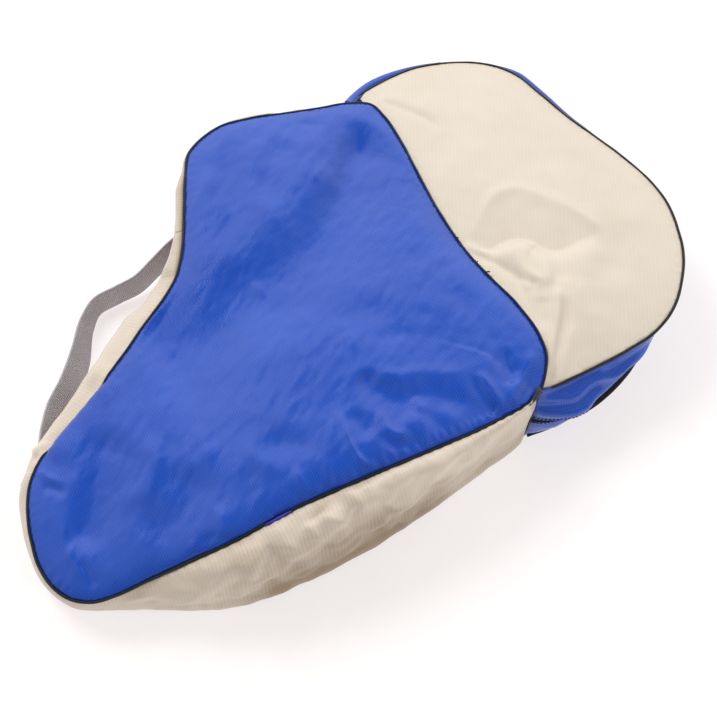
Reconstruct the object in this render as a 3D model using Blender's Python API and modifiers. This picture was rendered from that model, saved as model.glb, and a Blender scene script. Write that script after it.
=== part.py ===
"""Boot-shaped skate bag, lying on its side.

A boot-shaped skate compartment (two blue faces, a beige gusset, black piping)
with a half-round gear pocket sewn to its back (two beige faces, a blue gusset).
X runs along the sole from toe to heel, Y from the sole up to the collar,
Z through the thickness.  Lengths below are in millimetres, the scene in metres.
"""

import math

import bmesh
import bpy
from mathutils import Vector

MM = 0.001

# ------------------------------------------------------------------ dimensions
SHIFT = (4.875, -50.0)         # puts the middle of the footprint on the origin

CLOTH = 1.5                   # lined oxford cloth
PIPE_R = 2.0                  # piping cord radius
GAP = 1.0                     # play between neighbouring sewn pieces
FLOOR_Z = 2.25                # height of the lower piping's centre line

BOOT_TOP_Z = 112.0            # crown of the skate compartment
BOOT_MID = (0.0, 20.0)
POCKET_TOP_Z = 99.0           # crown of the gear pocket
POCKET_MID = (195.0, 60.0)

# Both zips run on circles in a horizontal plane, so a slider swings about
# the circle's centre.
MOUTH_C, MOUTH_R, MOUTH_Z = (8.0, 148.0), 93.0, 48.0
POCKET_C, POCKET_R, POCKET_Z = (127.0, 54.0), 167.5, 42.0
POCKET_END = 88.5             # the lid's zip runs from -88.5 to 88.5 degrees

TAPE_W = 9.0                  # visible zip tape on each side of the chain
TAPE_T = 0.8
CHAIN_GAP = 0.6               # half the gap that the slider's post runs in
CHAIN_W = 1.6
CHAIN_T = 1.6

SLIDER_L, SLIDER_W, PLATE_T = 10.0, 8.0, 1.2
PULL_L, PULL_W, PULL_T = 22.0, 6.4, 1.2
PIN_UP = 1.5                  # pull pin above the slider's outer plate

WEB_W, WEB_T = 25.0, 2.0      # grey webbing of the handle

MOUTH_PARK, MOUTH_TEETH = 54.0, (60.5, 154.5)
POCKET_PARK, POCKET_TEETH = 85.0, (-79.0, 79.0)
LID_FOLD_X = 130.0
LID_AXIS_Z = 87.0
FLAP_AXIS_Z = 98.5

BLUE = (0.035, 0.095, 0.52)
BEIGE = (0.66, 0.58, 0.46)
BLACK = (0.012, 0.012, 0.014)
GREY = (0.27, 0.26, 0.26)
STEEL = (0.42, 0.42, 0.43)

# Upper piping of the boot, anticlockwise from the heel: x, y, z.
BOOT_UPPER = [
    (108, -106, 87), (117, -90, 89), (117, -20, 91), (117, 60, 91),
    (117, 140, 89), (116, 196, 87), (104, 215, 86), (76, 223, 86),
    (42, 233, 86), (8, 241, 86), (-28, 236, 86), (-58, 212, 86),
    (-76, 182, 86), (-86, 158, 85), (-102, 131, 83), (-128, 103, 80),
    (-160, 80, 75), (-204, 55, 66), (-248, 36, 55), (-275, 17, 48),
    (-292, -10, 42), (-298, -42, 38), (-292, -73, 36), (-274, -94, 38),
    (-248, -104, 46), (-202, -112, 66), (-147, -118, 84), (-67, -122, 97),
    (10, -121, 97), (64, -116, 92),
]
MOUTH_BACK, MOUTH_FRONT = 7, 13          # control points where the mouth zip ends
TOE_TIP, HEEL, BACK_TOP = 20, 0, 6

# Where the gusset is widest, about half way down.
BOOT_WAIST = [
    (100, -104, 45), (112, -88, 46), (112, -20, 47), (112, 60, 47),
    (112, 140, 47), (110, 194, 48), (97, 208, 48), None,
    None, None, None, None,
    None, None, (-112, 139, 51), (-144, 120, 50),
    (-174, 103, 48), (-215, 76, 43), (-255, 50, 35), (-283, 25, 28),
    (-300, -7, 23), (-305, -42, 20), (-296, -75, 20), (-275, -95, 20),
    (-248, -104, 22), (-203, -126, 28), (-147, -141, 33), (-67, -143, 37),
    (10, -137, 41), (60, -122, 45),
]
# Lower piping, on the floor.
BOOT_LOWER = [
    (84, -92), (96, -78), (100, -20), (100, 60),
    (100, 140), (97, 186), (86, 201), (66, 212),
    (40, 226), (8, 233), (-26, 228), (-54, 207),
    (-71, 179), (-80, 157), (-96, 135), (-124, 107),
    (-158, 86), (-204, 62), (-245, 44), (-272, 21),
    (-287, -8), (-292, -40), (-285, -69), (-267, -87),
    (-243, -100), (-203, -120), (-147, -137), (-67, -139),
    (5, -128), (50, -114),
]
# Upper and lower piping of the pocket, from the heel round to the collar.
POCKET_UPPER = [
    (121, -104, 80), (150, -101, 78), (187, -98, 77), (230, -91, 78),
    (257, -77, 80), (277, -52, 82), (289, -17, 84), (293, 22, 84),
    (288, 71, 84), (272, 126, 84), (255, 181, 83), (236, 209, 83),
    (196, 226, 82), (156, 231, 80), (121, 229, 80),
]
POCKET_LOWER = [
    (110, -85), (140, -83), (175, -80), (212, -73),
    (236, -60), (255, -39), (267, -11), (272, 22),
    (269, 66), (257, 114), (240, 163), (224, 187),
    (190, 205), (152, 211), (112, 210),
]

HANDLE = [                                   # middle of the webbing: x, y, z
    (-264, 45.5, 19), (-254, 61.5, 18.8), (-240, 81, 18), (-223, 98, 17),
    (-204, 124, 15), (-187, 153, 13.8), (-174, 166, 13.6), (-153, 169.5, 13.8),
    (-134, 171, 15), (-113, 179, 18), (-95, 186.5, 20.7), (-76.5, 192.5, 22),
]
HANDLE_LEAN = [10, 22, 32, 36, 30, 14, 5, 4, 6, 8, 9, 10]  # degrees from upright

LOOP_ANGLE = 69.0                            # hang loop on the collar


# ------------------------------------------------------------------ small tools
def spline(points, closed):
    """Chord-length Catmull-Rom through the points; returns f(t), t in control points."""
    p = [Vector(q) for q in points]
    n = len(p)

    def at(i):
        if closed:
            return p[i % n]
        if i < 0:
            return p[0] * 2 - p[1]
        if i >= n:
            return p[-1] * 2 - p[-2]
        return p[i]

    def slope(i):
        a, b, c = at(i - 1), at(i), at(i + 1)
        d1 = max((b - a).length, 1e-6)
        d2 = max((c - b).length, 1e-6)
        return ((b - a) / d1 * d2 + (c - b) / d2 * d1) / (d1 + d2)

    def f(t):
        i = math.floor(t)
        if not closed:
            i = max(0, min(n - 2, i))
        u = t - i
        a, b = at(i), at(i + 1)
        d = (b - a).length
        m0, m1 = slope(i) * d, slope(i + 1) * d
        return (a * (2 * u**3 - 3 * u**2 + 1) + m0 * (u**3 - 2 * u**2 + u)
                + b * (3 * u**2 - 2 * u**3) + m1 * (u**3 - u**2))

    return f


def on_circle(centre, radius, degrees, z):
    a = math.radians(degrees)
    return Vector((centre[0] + radius * math.cos(a),
                   centre[1] + radius * math.sin(a), z))


def angle_about(centre, p):
    return math.degrees(math.atan2(p[1] - centre[1], p[0] - centre[0]))


def frange(a, b, count):
    return [a + (b - a) * k / (count - 1) for k in range(count)]


boot_upper = spline(BOOT_UPPER, True)
waist = [on_circle(MOUTH_C, MOUTH_R, angle_about(MOUTH_C, BOOT_UPPER[i]), MOUTH_Z)
         if q is None else q for i, q in enumerate(BOOT_WAIST)]
boot_waist_free = spline(waist, True)
boot_lower = spline([(x, y, FLOOR_Z) for x, y in BOOT_LOWER], True)
pocket_upper = spline(POCKET_UPPER, False)
pocket_lower = spline([(x, y, FLOOR_Z) for x, y in POCKET_LOWER], False)


def boot_waist(t):
    """On the mouth the waist line is the zip's circle."""
    if MOUTH_BACK <= t <= MOUTH_FRONT:
        return on_circle(MOUTH_C, MOUTH_R, angle_about(MOUTH_C, boot_upper(t)), MOUTH_Z)
    return boot_waist_free(t)


def pocket_waist(t):
    return on_circle(POCKET_C, POCKET_R, angle_about(POCKET_C, pocket_upper(t)), POCKET_Z)


def pocket_at(degrees):
    """Parameter of the pocket outline at an angle about the zip's centre."""
    lo, hi = 0.0, len(POCKET_UPPER) - 1.0
    for _ in range(40):
        mid = (lo + hi) / 2
        if angle_about(POCKET_C, pocket_upper(mid)) < degrees:
            lo = mid
        else:
            hi = mid
    return lo


def mouth_at(degrees):
    lo, hi = float(MOUTH_BACK), float(MOUTH_FRONT)
    for _ in range(40):
        mid = (lo + hi) / 2
        if angle_about(MOUTH_C, boot_upper(mid)) < degrees:
            lo = mid
        else:
            hi = mid
    return lo


def upper_side(top, waist_point, s):
    """Gusset between the waist (s 0, upright there) and the upper piping (s 1)."""
    q = Vector((waist_point.x, waist_point.y, waist_point.z + 0.55 * (top.z - waist_point.z)))
    return waist_point * (1 - s) ** 2 + q * 2 * s * (1 - s) + top * s**2


def at_height(top, waist_point, z, s_hint=None):
    """Point of the gusset's curve at a height z."""
    lo, hi = 0.0, 1.0
    up = top.z > waist_point.z
    for _ in range(40):
        mid = (lo + hi) / 2
        if (upper_side(top, waist_point, mid).z < z) == up:
            lo = mid
        else:
            hi = mid
    return upper_side(top, waist_point, (lo + hi) / 2)


# ------------------------------------------------------------------ scene
for old in list(bpy.data.objects):
    bpy.data.objects.remove(old, do_unlink=True)
scene = bpy.context.scene
bag = bpy.data.collections.new("skate_bag")
helpers = bpy.data.collections.new("cutters")
scene.collection.children.link(bag)
scene.collection.children.link(helpers)


def material(name, colour, rough, metal=0.0):
    m = bpy.data.materials.new(name)
    m.use_nodes = True
    b = m.node_tree.nodes["Principled BSDF"]
    b.inputs["Base Color"].default_value = (*colour, 1)
    b.inputs["Roughness"].default_value = rough
    b.inputs["Metallic"].default_value = metal
    m.diffuse_color = (*colour, 1)
    return m


MATERIAL = {
    "blue": material("blue_oxford", BLUE, 0.55),
    "beige": material("beige_oxford", BEIGE, 0.5),
    "piping": material("black_piping", BLACK, 0.45),
    "tape": material("zip_tape", BLACK, 0.8),
    "chain": material("zip_chain", (0.02, 0.02, 0.022), 0.4),
    "metal": material("zip_metal", STEEL, 0.35, 1.0),
    "web": material("grey_webbing", GREY, 0.85),
}

PARENTS = {}


def joint_empty(name, at_mm):
    e = bpy.data.objects.new(name, None)
    e.location = ((at_mm[0] + SHIFT[0]) * MM, (at_mm[1] + SHIFT[1]) * MM, at_mm[2] * MM)
    helpers.objects.link(e)
    PARENTS[name] = e
    return e


def add(name, mesh, finish, parent=None, smooth=True):
    obj = bpy.data.objects.new(name, mesh)
    mesh.materials.append(MATERIAL[finish])
    bag.objects.link(obj)
    if smooth:
        mesh.shade_smooth()
        mesh.set_sharp_from_angle(angle=math.radians(40))
    if parent:
        e = PARENTS[parent]
        mesh.transform(e.matrix_basis.inverted())
        obj.parent = e
    return obj


def world(p):
    return Vector(((p[0] + SHIFT[0]) * MM, (p[1] + SHIFT[1]) * MM, p[2] * MM))


def sheet_mesh(name, rows, outward, closed=False):
    """Lofted cloth surface through rows of points, faces turned to 'outward'."""
    bm = bmesh.new()
    grid = [[bm.verts.new(world(p)) for p in row] for row in rows]
    count = len(grid) if closed else len(grid) - 1
    for i in range(count):
        a, b = grid[i], grid[(i + 1) % len(grid)]
        for j in range(len(a) - 1):
            bm.faces.new((a[j], b[j], b[j + 1], a[j + 1]))
    bm.normal_update()
    total = sum(f.normal.dot(outward(f.calc_center_median())) * f.calc_area() for f in bm.faces)
    if total < 0:
        bmesh.ops.reverse_faces(bm, faces=bm.faces)
    mesh = bpy.data.meshes.new(name)
    bm.to_mesh(mesh)
    bm.free()
    return mesh


def thicken(obj, thickness, offset=-1.0):
    m = obj.modifiers.new("cloth", "SOLIDIFY")
    m.thickness = thickness * MM
    m.offset = offset
    m.use_even_offset = True
    m.use_rim = True
    return obj


def away_from(x, y):
    c = world((x, y, 0))
    return lambda p: Vector((p.x - c.x, p.y - c.y, 0))


def cord(name, points, radius, finish, parent=None, cyclic=False):
    """Round piping along a line of points."""
    curve = bpy.data.curves.new(name, "CURVE")
    curve.dimensions = "3D"
    s = curve.splines.new("POLY")
    s.points.add(len(points) - 1)
    for q, p in zip(s.points, points):
        q.co = (*world(p), 1)
    s.use_cyclic_u = cyclic
    curve.bevel_depth = radius * MM
    curve.bevel_resolution = 1
    curve.use_fill_caps = not cyclic
    curve.materials.append(MATERIAL[finish])
    obj = bpy.data.objects.new(name, curve)
    bag.objects.link(obj)
    if parent:
        e = PARENTS[parent]
        curve.transform(e.matrix_basis.inverted())
        obj.parent = e
    return obj


def inward(f, t, distance, closed_len=None):
    """Point of an outline moved into the panel, in plan."""
    a, b = f(t - 0.02), f(t + 0.02)
    d = (b - a)
    n = Vector((-d.y, d.x, 0)).normalized()
    p = f(t)
    return Vector((p.x + n.x * distance, p.y + n.y * distance, p.z))


def plate(name, outline, thickness, finish, z0):
    """Flat cloth panel from its outline."""
    curve = bpy.data.curves.new(name, "CURVE")
    curve.dimensions = "2D"
    curve.fill_mode = "BOTH"
    curve.extrude = thickness / 2 * MM
    s = curve.splines.new("POLY")
    s.points.add(len(outline) - 1)
    for q, p in zip(s.points, outline):
        q.co = (*world((p[0], p[1], 0)), 1)
    s.use_cyclic_u = True
    curve.materials.append(MATERIAL[finish])
    obj = bpy.data.objects.new(name, curve)
    obj.location.z = (z0 + thickness / 2) * MM
    bag.objects.link(obj)
    return obj


def dome(boundary, middle, top_z, rings, power=2.2):
    """Rings of a crowned panel from its edge to its middle."""
    rows = []
    for p in boundary:
        row = []
        for k in range(rings):
            r = 1 - k / rings
            row.append((middle[0] + (p[0] - middle[0]) * r,
                        middle[1] + (p[1] - middle[1]) * r,
                        top_z + (p[2] - top_z) * r**power))
        rows.append(row)
    return rows


def dome_mesh(name, boundary, middle, top_z, rings):
    """Crowned panel over a closed outline."""
    rows = dome(boundary, middle, top_z, rings)
    bm = bmesh.new()
    grid = [[bm.verts.new(world(p)) for p in row] for row in rows]
    crown = bm.verts.new(world((*middle, top_z)))
    for i, a in enumerate(grid):
        b = grid[(i + 1) % len(grid)]
        for j in range(rings - 1):
            bm.faces.new((a[j], b[j], b[j + 1], a[j + 1]))
        bm.faces.new((a[-1], b[-1], crown))
    bm.normal_update()
    if sum(f.normal.z * f.calc_area() for f in bm.faces) < 0:
        bmesh.ops.reverse_faces(bm, faces=bm.faces)
    mesh = bpy.data.meshes.new(name)
    bm.to_mesh(mesh)
    bm.free()
    return mesh


def keep_side(mesh, name, point, normal):
    """Copy of a panel cut along an upright plane; the side the normal points to stays."""
    bm = bmesh.new()
    bm.from_mesh(mesh)
    bmesh.ops.bisect_plane(bm, geom=bm.verts[:] + bm.edges[:] + bm.faces[:],
                           plane_co=world(point), plane_no=normal,
                           clear_inner=True, dist=1e-6)
    bmesh.ops.remove_doubles(bm, verts=bm.verts, dist=2e-5)
    out = bpy.data.meshes.new(name)
    bm.to_mesh(out)
    bm.free()
    return out


# ------------------------------------------------------------------ joint axes
flap_back, flap_front = boot_upper(MOUTH_BACK), boot_upper(MOUTH_FRONT)
fold = Vector((flap_back.x - flap_front.x, flap_back.y - flap_front.y, 0)).normalized()
fold_out = Vector((-fold.y, fold.x, 0))
flap_mid = (flap_back + flap_front) / 2
joint_empty("mouth_fold", (flap_mid.x, flap_mid.y, FLAP_AXIS_Z))
joint_empty("lid_fold", (LID_FOLD_X, POCKET_C[1], LID_AXIS_Z))

# ------------------------------------------------------------------ boot faces
edge_t = [k / 2 for k in range(2 * len(BOOT_UPPER))]
upper_edge = [inward(boot_upper, t, PIPE_R + GAP) for t in edge_t]
whole = dome_mesh("skate_upper_whole", upper_edge, BOOT_MID, BOOT_TOP_Z, 5)
cut = 0.5
fixed = keep_side(whole, "skate_upper_panel", flap_mid - fold_out * cut, -fold_out)
loose = keep_side(whole, "mouth_flap_panel", flap_mid + fold_out * cut, fold_out)
thicken(add("skate_upper_panel", fixed, "blue"), CLOTH)
thicken(add("mouth_flap_panel", loose, "blue", "mouth_fold"), CLOTH)
bpy.data.meshes.remove(whole)

lower_edge = [inward(boot_lower, t, PIPE_R + GAP) for t in edge_t]
plate("skate_lower_panel", lower_edge, CLOTH, "blue", 0.0)


# ------------------------------------------------------------------ boot gusset
def full_side(t, count=7, upper=boot_upper, middle=boot_waist, lower=boot_lower):
    """Whole height of the gusset, from under the upper to above the lower piping."""
    a, m, b = upper(t), middle(t), lower(t)
    a = Vector((a.x, a.y, a.z - PIPE_R - GAP))
    b = Vector((b.x, b.y, b.z + PIPE_R + GAP))
    top = [upper_side(a, m, s) for s in frange(1, 0, (count + 1) // 2)]
    low = [upper_side(b, m, s) for s in frange(0, 1, (count + 1) // 2)]
    return top + low[1:]


def piece_of_gusset(name, t0, t1, steps, finish):
    rows = [full_side(t) for t in frange(t0, t1, steps)]
    mesh = sheet_mesh(name, rows, away_from(*BOOT_MID))
    return thicken(add(name, mesh, finish), CLOTH)


n_boot = len(BOOT_UPPER)
SEAM = 0.05                                    # half a seam, in control points
piece_of_gusset("sole_gusset", TOE_TIP + SEAM, n_boot + HEEL - SEAM, 24, "beige")
piece_of_gusset("back_wall", HEEL + SEAM, BACK_TOP - SEAM, 12, "beige")
piece_of_gusset("collar_gusset_end", BACK_TOP + SEAM, MOUTH_BACK - 0.02, 4, "beige")
piece_of_gusset("instep_gusset", MOUTH_FRONT + 0.03, TOE_TIP - SEAM, 15, "beige")

mouth_t = frange(MOUTH_BACK + 0.02, MOUTH_FRONT - 0.03, 20)


def band(top_of, waist_of, t, z_from, s_count, top_gap):
    """Upper half of the gusset above a height z_from."""
    a, m = top_of(t), waist_of(t)
    a = Vector((a.x, a.y, a.z - top_gap))
    low = z_from
    zs = frange(a.z, low, s_count)
    return [at_height(a, m, z) for z in zs]


def band_low(low_of, waist_of, t, z_from, s_count):
    b, m = low_of(t), waist_of(t)
    b = Vector((b.x, b.y, b.z + PIPE_R + GAP))
    return [at_height(b, m, z) for z in frange(z_from, b.z, s_count)]


rim = CHAIN_GAP + CHAIN_W + TAPE_W + 0.4        # zip centre to the cloth's edge
rows = [band(boot_upper, boot_waist, t, MOUTH_Z + rim, 4, PIPE_R + GAP) for t in mouth_t]
thicken(add("mouth_gusset_upper", sheet_mesh("mouth_gusset_upper", rows, away_from(*MOUTH_C)),
            "beige", "mouth_fold"), CLOTH)
rows = [band_low(boot_lower, boot_waist, t, MOUTH_Z - rim, 4) for t in mouth_t]
thicken(add("mouth_gusset_lower", sheet_mesh("mouth_gusset_lower", rows, away_from(*MOUTH_C)),
            "beige"), CLOTH)

# ------------------------------------------------------------------ boot piping
cord("skate_upper_piping",
     [boot_upper(t) for t in frange(MOUTH_FRONT + 0.05, MOUTH_BACK + n_boot - 0.04, 58)],
     PIPE_R, "piping")
cord("mouth_piping", [boot_upper(t) for t in frange(MOUTH_BACK + 0.02, MOUTH_FRONT - 0.03, 19)],
     PIPE_R, "piping", "mouth_fold")
cord("skate_lower_piping", [boot_lower(t) for t in [k / 2 for k in range(2 * n_boot)]],
     PIPE_R, "piping", cyclic=True)


# ------------------------------------------------------------------ zips
def ring_strip(name, centre, radius, z0, z1, thickness, a0, a1, step, finish, parent=None):
    """Upright strip on the zip's circle, from z0 to z1."""
    count = max(3, int(abs(a1 - a0) / step) + 1)
    rows = [[on_circle(centre, radius + thickness / 2, a, z1),
             on_circle(centre, radius + thickness / 2, a, z0)] for a in frange(a0, a1, count)]
    mesh = sheet_mesh(name, rows, away_from(*centre))
    return thicken(add(name, mesh, finish, parent), thickness)


def zip_halves(prefix, centre, radius, z, teeth, tape_low, step, lid):
    ring_strip(prefix + "_chain_upper", centre, radius, z + CHAIN_GAP, z + CHAIN_GAP + CHAIN_W,
               CHAIN_T, teeth[0], teeth[1], step, "chain", lid)
    ring_strip(prefix + "_chain_lower", centre, radius, z - CHAIN_GAP - CHAIN_W, z - CHAIN_GAP,
               CHAIN_T, teeth[0], teeth[1], step, "chain")
    edge = CHAIN_GAP + CHAIN_W + 0.3
    ring_strip(prefix + "_tape_upper", centre, radius, z + edge, z + edge + TAPE_W - 0.3,
               TAPE_T, teeth[0], teeth[1], step, "tape", lid)
    ring_strip(prefix + "_tape_lower", centre, radius, z - edge - TAPE_W + 0.3, z - edge,
               TAPE_T, tape_low[0], tape_low[1], step, "tape")


zip_halves("mouth_zip", MOUTH_C, MOUTH_R, MOUTH_Z, MOUTH_TEETH, (48.8, 173.0), 5.0, "mouth_fold")
zip_halves("pocket_zip", POCKET_C, POCKET_R, POCKET_Z, POCKET_TEETH,
           (-POCKET_END + 0.3, POCKET_END - 0.3), 4.5, "lid_fold")


def box_mesh(name, lo, hi):
    bm = bmesh.new()
    bmesh.ops.create_cube(bm, size=1.0)
    for v in bm.verts:
        v.co = Vector([(l + h) / 2 + c * (h - l) for c, l, h in zip(v.co, lo, hi)]) * MM
    mesh = bpy.data.meshes.new(name)
    bm.to_mesh(mesh)
    bm.free()
    return mesh


def slider(name, centre, radius, z, park):
    """Two plates joined by a thin post between the chains, and an arch for the pull.
    Local x points out of the bag, y along the zip."""
    r = radius
    inner, outer = r - CHAIN_T / 2 - 0.5, r + CHAIN_T / 2 + 0.5
    half_l, half_w = SLIDER_L / 2, SLIDER_W / 2
    face = outer + PLATE_T
    body = bpy.data.objects.new(
        name, box_mesh(name, (outer, -half_l, -half_w), (face, half_l, half_w)))
    body.data.materials.append(MATERIAL["metal"])
    bag.objects.link(body)
    body.location = world((*centre, z))
    body.rotation_euler.z = math.radians(park)
    more = {
        "inner_plate": ((inner - PLATE_T, -half_l, -half_w), (inner, half_l, half_w)),
        "post": ((inner - 0.6, -1.5, -0.3), (outer + 0.6, 1.5, 0.3)),
        "arch_front": ((face - 0.5, 2.6, -1.1), (face + 3.9, 3.8, 1.1)),
        "arch_rear": ((face - 0.5, -3.8, -1.1), (face + 3.9, -2.6, 1.1)),
        "arch_top": ((face + 2.8, -3.2, -1.1), (face + 3.9, 3.2, 1.1)),
    }
    for part, (lo, hi) in more.items():
        helper = bpy.data.objects.new(f"{name}_{part}", box_mesh(f"{name}_{part}", lo, hi))
        helper.hide_render = True
        helper.display_type = "WIRE"
        helpers.objects.link(helper)
        helper.parent = body
        union = body.modifiers.new(part, "BOOLEAN")
        union.operation = "UNION"
        union.object = helper
    return body, face


def pull(name, body, face, way):
    """Flat tab; the bar at its end lies under the slider's arch."""
    hole, bar = 5.6, 1.2
    half = PULL_W / 2
    curve = bpy.data.curves.new(name, "CURVE")
    curve.dimensions = "2D"
    curve.fill_mode = "BOTH"
    curve.extrude = PULL_T / 2 * MM
    tip = PULL_L - 2.2
    outer = [(-bar / 2, -half + 0.8), (bar / 2, -half), (tip, -half + 0.6), (PULL_L, -half + 2.0),
             (PULL_L, half - 2.0), (tip, half - 0.6), (bar / 2, half), (-bar / 2, half - 0.8)]
    inner = [(bar / 2, -2.0), (bar / 2 + hole, -2.0), (bar / 2 + hole, 2.0), (bar / 2, 2.0)]
    for line in (outer, inner):
        s = curve.splines.new("POLY")
        s.points.add(len(line) - 1)
        for q, p in zip(s.points, line):
            q.co = (p[0] * MM, p[1] * MM, 0, 1)
        s.use_cyclic_u = True
    curve.materials.append(MATERIAL["metal"])
    tab = bpy.data.objects.new(name, curve)
    bag.objects.link(tab)
    tab.parent = body
    tab.location = ((face + PIN_UP) * MM, 0, 0)
    # the tab's own x runs along the zip, its thickness points out of the bag
    tab.rotation_euler = (math.radians(90), 0, math.radians(90 * way))
    return tab


body, face = slider("mouth_zip_slider", MOUTH_C, MOUTH_R, MOUTH_Z, MOUTH_PARK)
pull("mouth_zip_pull", body, face, 1)
body, face = slider("pocket_zip_slider", POCKET_C, POCKET_R, POCKET_Z, POCKET_PARK)
pull("pocket_zip_pull", body, face, -1)


def stop(name, centre, radius, z, degrees):
    """Bar tack that ends the chain, on the lower tape's end."""
    half = math.degrees(1.0 / radius)
    ring_strip(name, centre, radius, z - CHAIN_GAP - CHAIN_W, z + CHAIN_GAP + CHAIN_W,
               2.0, degrees - half, degrees + half, 1.0, "metal")


stop("mouth_zip_stop_front", MOUTH_C, MOUTH_R, MOUTH_Z, 165.5)
stop("mouth_zip_stop_back", MOUTH_C, MOUTH_R, MOUTH_Z, 49.6)
stop("pocket_zip_stop_heel", POCKET_C, POCKET_R, POCKET_Z, -87.6)
stop("pocket_zip_stop_collar", POCKET_C, POCKET_R, POCKET_Z, 87.6)

# ------------------------------------------------------------------ gear pocket
SEAM_X = 121.5
last = len(POCKET_UPPER) - 1.0
pocket_edge = [inward(pocket_upper, t, PIPE_R + GAP) for t in frange(0.05, last - 0.05, 40)]
pocket_edge[0].x = pocket_edge[-1].x = SEAM_X
ends = [pocket_edge[-1], pocket_edge[0]]
seam = [(SEAM_X, ends[0].y + (ends[1].y - ends[0].y) * k / 9, 80 + 1.5 * math.sin(math.pi * k / 9))
        for k in range(1, 9)]
whole = dome_mesh("pocket_upper_whole", [tuple(p) for p in pocket_edge] + seam,
                  POCKET_MID, POCKET_TOP_Z, 4)
strip = keep_side(whole, "pocket_upper_strip", (LID_FOLD_X - 0.5, 0, 0), Vector((-1, 0, 0)))
lid = keep_side(whole, "pocket_lid_panel", (LID_FOLD_X + 0.5, 0, 0), Vector((1, 0, 0)))
thicken(add("pocket_upper_strip", strip, "beige"), CLOTH)
thicken(add("pocket_lid_panel", lid, "beige", "lid_fold"), CLOTH)
bpy.data.meshes.remove(whole)

low_edge = [inward(pocket_lower, t, PIPE_R + GAP) for t in frange(0.0, last, 40)]
low_edge = [p for p in low_edge if p.x > 107.5]
plate("pocket_lower_panel", [(107.0, low_edge[0].y)] + [tuple(p) for p in low_edge]
      + [(107.0, low_edge[-1].y)], CLOTH, "beige", 0.0)

lid_t = frange(pocket_at(-POCKET_END), pocket_at(POCKET_END), 38)
rows = [band(pocket_upper, pocket_waist, t, POCKET_Z + rim, 4, PIPE_R + GAP) for t in lid_t]
thicken(add("pocket_gusset_upper", sheet_mesh("pocket_gusset_upper", rows, away_from(*POCKET_C)),
            "blue", "lid_fold"), CLOTH)
rows = [band_low(pocket_lower, pocket_waist, t, POCKET_Z - rim, 4) for t in lid_t]
thicken(add("pocket_gusset_lower", sheet_mesh("pocket_gusset_lower", rows, away_from(*POCKET_C)),
            "blue"), CLOTH)

for name, t0, t1 in (("pocket_gusset_end_heel", 0.0, pocket_at(-POCKET_END) - 0.04),
                     ("pocket_gusset_end_collar", pocket_at(POCKET_END) + 0.04, last)):
    rows = [full_side(t, 7, pocket_upper, pocket_waist, pocket_lower) for t in frange(t0, t1, 3)]
    mesh = sheet_mesh(name, rows, away_from(*POCKET_C))
    thicken(add(name, mesh, "blue"), CLOTH)

fold_t = [pocket_at(-POCKET_END), pocket_at(POCKET_END)]
cord("pocket_lid_piping", [pocket_upper(t) for t in frange(fold_t[0] + 0.02, fold_t[1] - 0.02, 42)],
     PIPE_R, "piping", "lid_fold")
cord("pocket_lower_piping", [pocket_lower(t) for t in frange(0.0, last, 42)], PIPE_R, "piping")


# ------------------------------------------------------------------ handle
def band_solid(name, centres, across, width, thick, finish, parent=None):
    """Flat webbing swept along a line; 'across' gives its width direction."""
    rows = []
    for p, w in zip(centres, across):
        rows.append([p + w * (width / 2), p - w * (width / 2)])
    mid = centres[len(centres) // 2]
    chord = centres[0] + (centres[-1] - centres[0]) * 0.5
    away = (mid - chord)
    mesh = sheet_mesh(name, rows, lambda q: Vector((away.x, away.y, 0)))
    return thicken(add(name, mesh, finish, parent), thick, 0.0)


path = spline(HANDLE, False)
lean = spline([(a, 0, 0) for a in HANDLE_LEAN], False)
steps = frange(0.0, len(HANDLE) - 1.0, 34)
centres = [path(t) for t in steps]
across = []
for t in steps:
    d = path(min(t + 0.02, len(HANDLE) - 1.0)) - path(max(t - 0.02, 0))
    out = Vector((-d.y, d.x, 0)).normalized()
    a = math.radians(lean(t).x)
    w = Vector((out.x * math.sin(a), out.y * math.sin(a), math.cos(a)))
    across.append(w.normalized())
# the webbing folds along its upper edge between the sewn ends
axis_ends = [c + w * (WEB_W / 2) for c, w in ((centres[0], across[0]), (centres[-1], across[-1]))]
axis_mid = (axis_ends[0] + axis_ends[1]) / 2
joint_empty("handle_swing", axis_mid)
band_solid("grab_handle", centres, across, WEB_W, WEB_T, "web", "handle_swing")


def sewn_end(name, t0, t1, z0, z1):
    """End of the webbing, box-stitched to the lower half of the instep gusset."""
    rows = []
    for t in frange(t0, t1, 5):
        m, b = boot_waist(t), boot_lower(t)
        b = Vector((b.x, b.y, b.z + PIPE_R + GAP))
        a = boot_upper(t)
        a = Vector((a.x, a.y, a.z - PIPE_R - GAP))
        d = boot_waist(t + 0.02) - boot_waist(t - 0.02)
        n = Vector((d.y, -d.x, 0)).normalized()
        row = []
        for z in frange(z1, z0, 4):
            p = at_height(a, m, z) if z > m.z else at_height(b, m, z)
            row.append(p + n * 0.7)
        rows.append(row)
    mesh = sheet_mesh(name, rows, away_from(*BOOT_MID))
    return thicken(add(name, mesh, "web"), WEB_T, 1.0)


sewn_end("handle_end_toe", 18.25, 19.05, 7.0, 31.0)
sewn_end("handle_end_collar", 11.1, 11.72, 10.0, 34.0)

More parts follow.
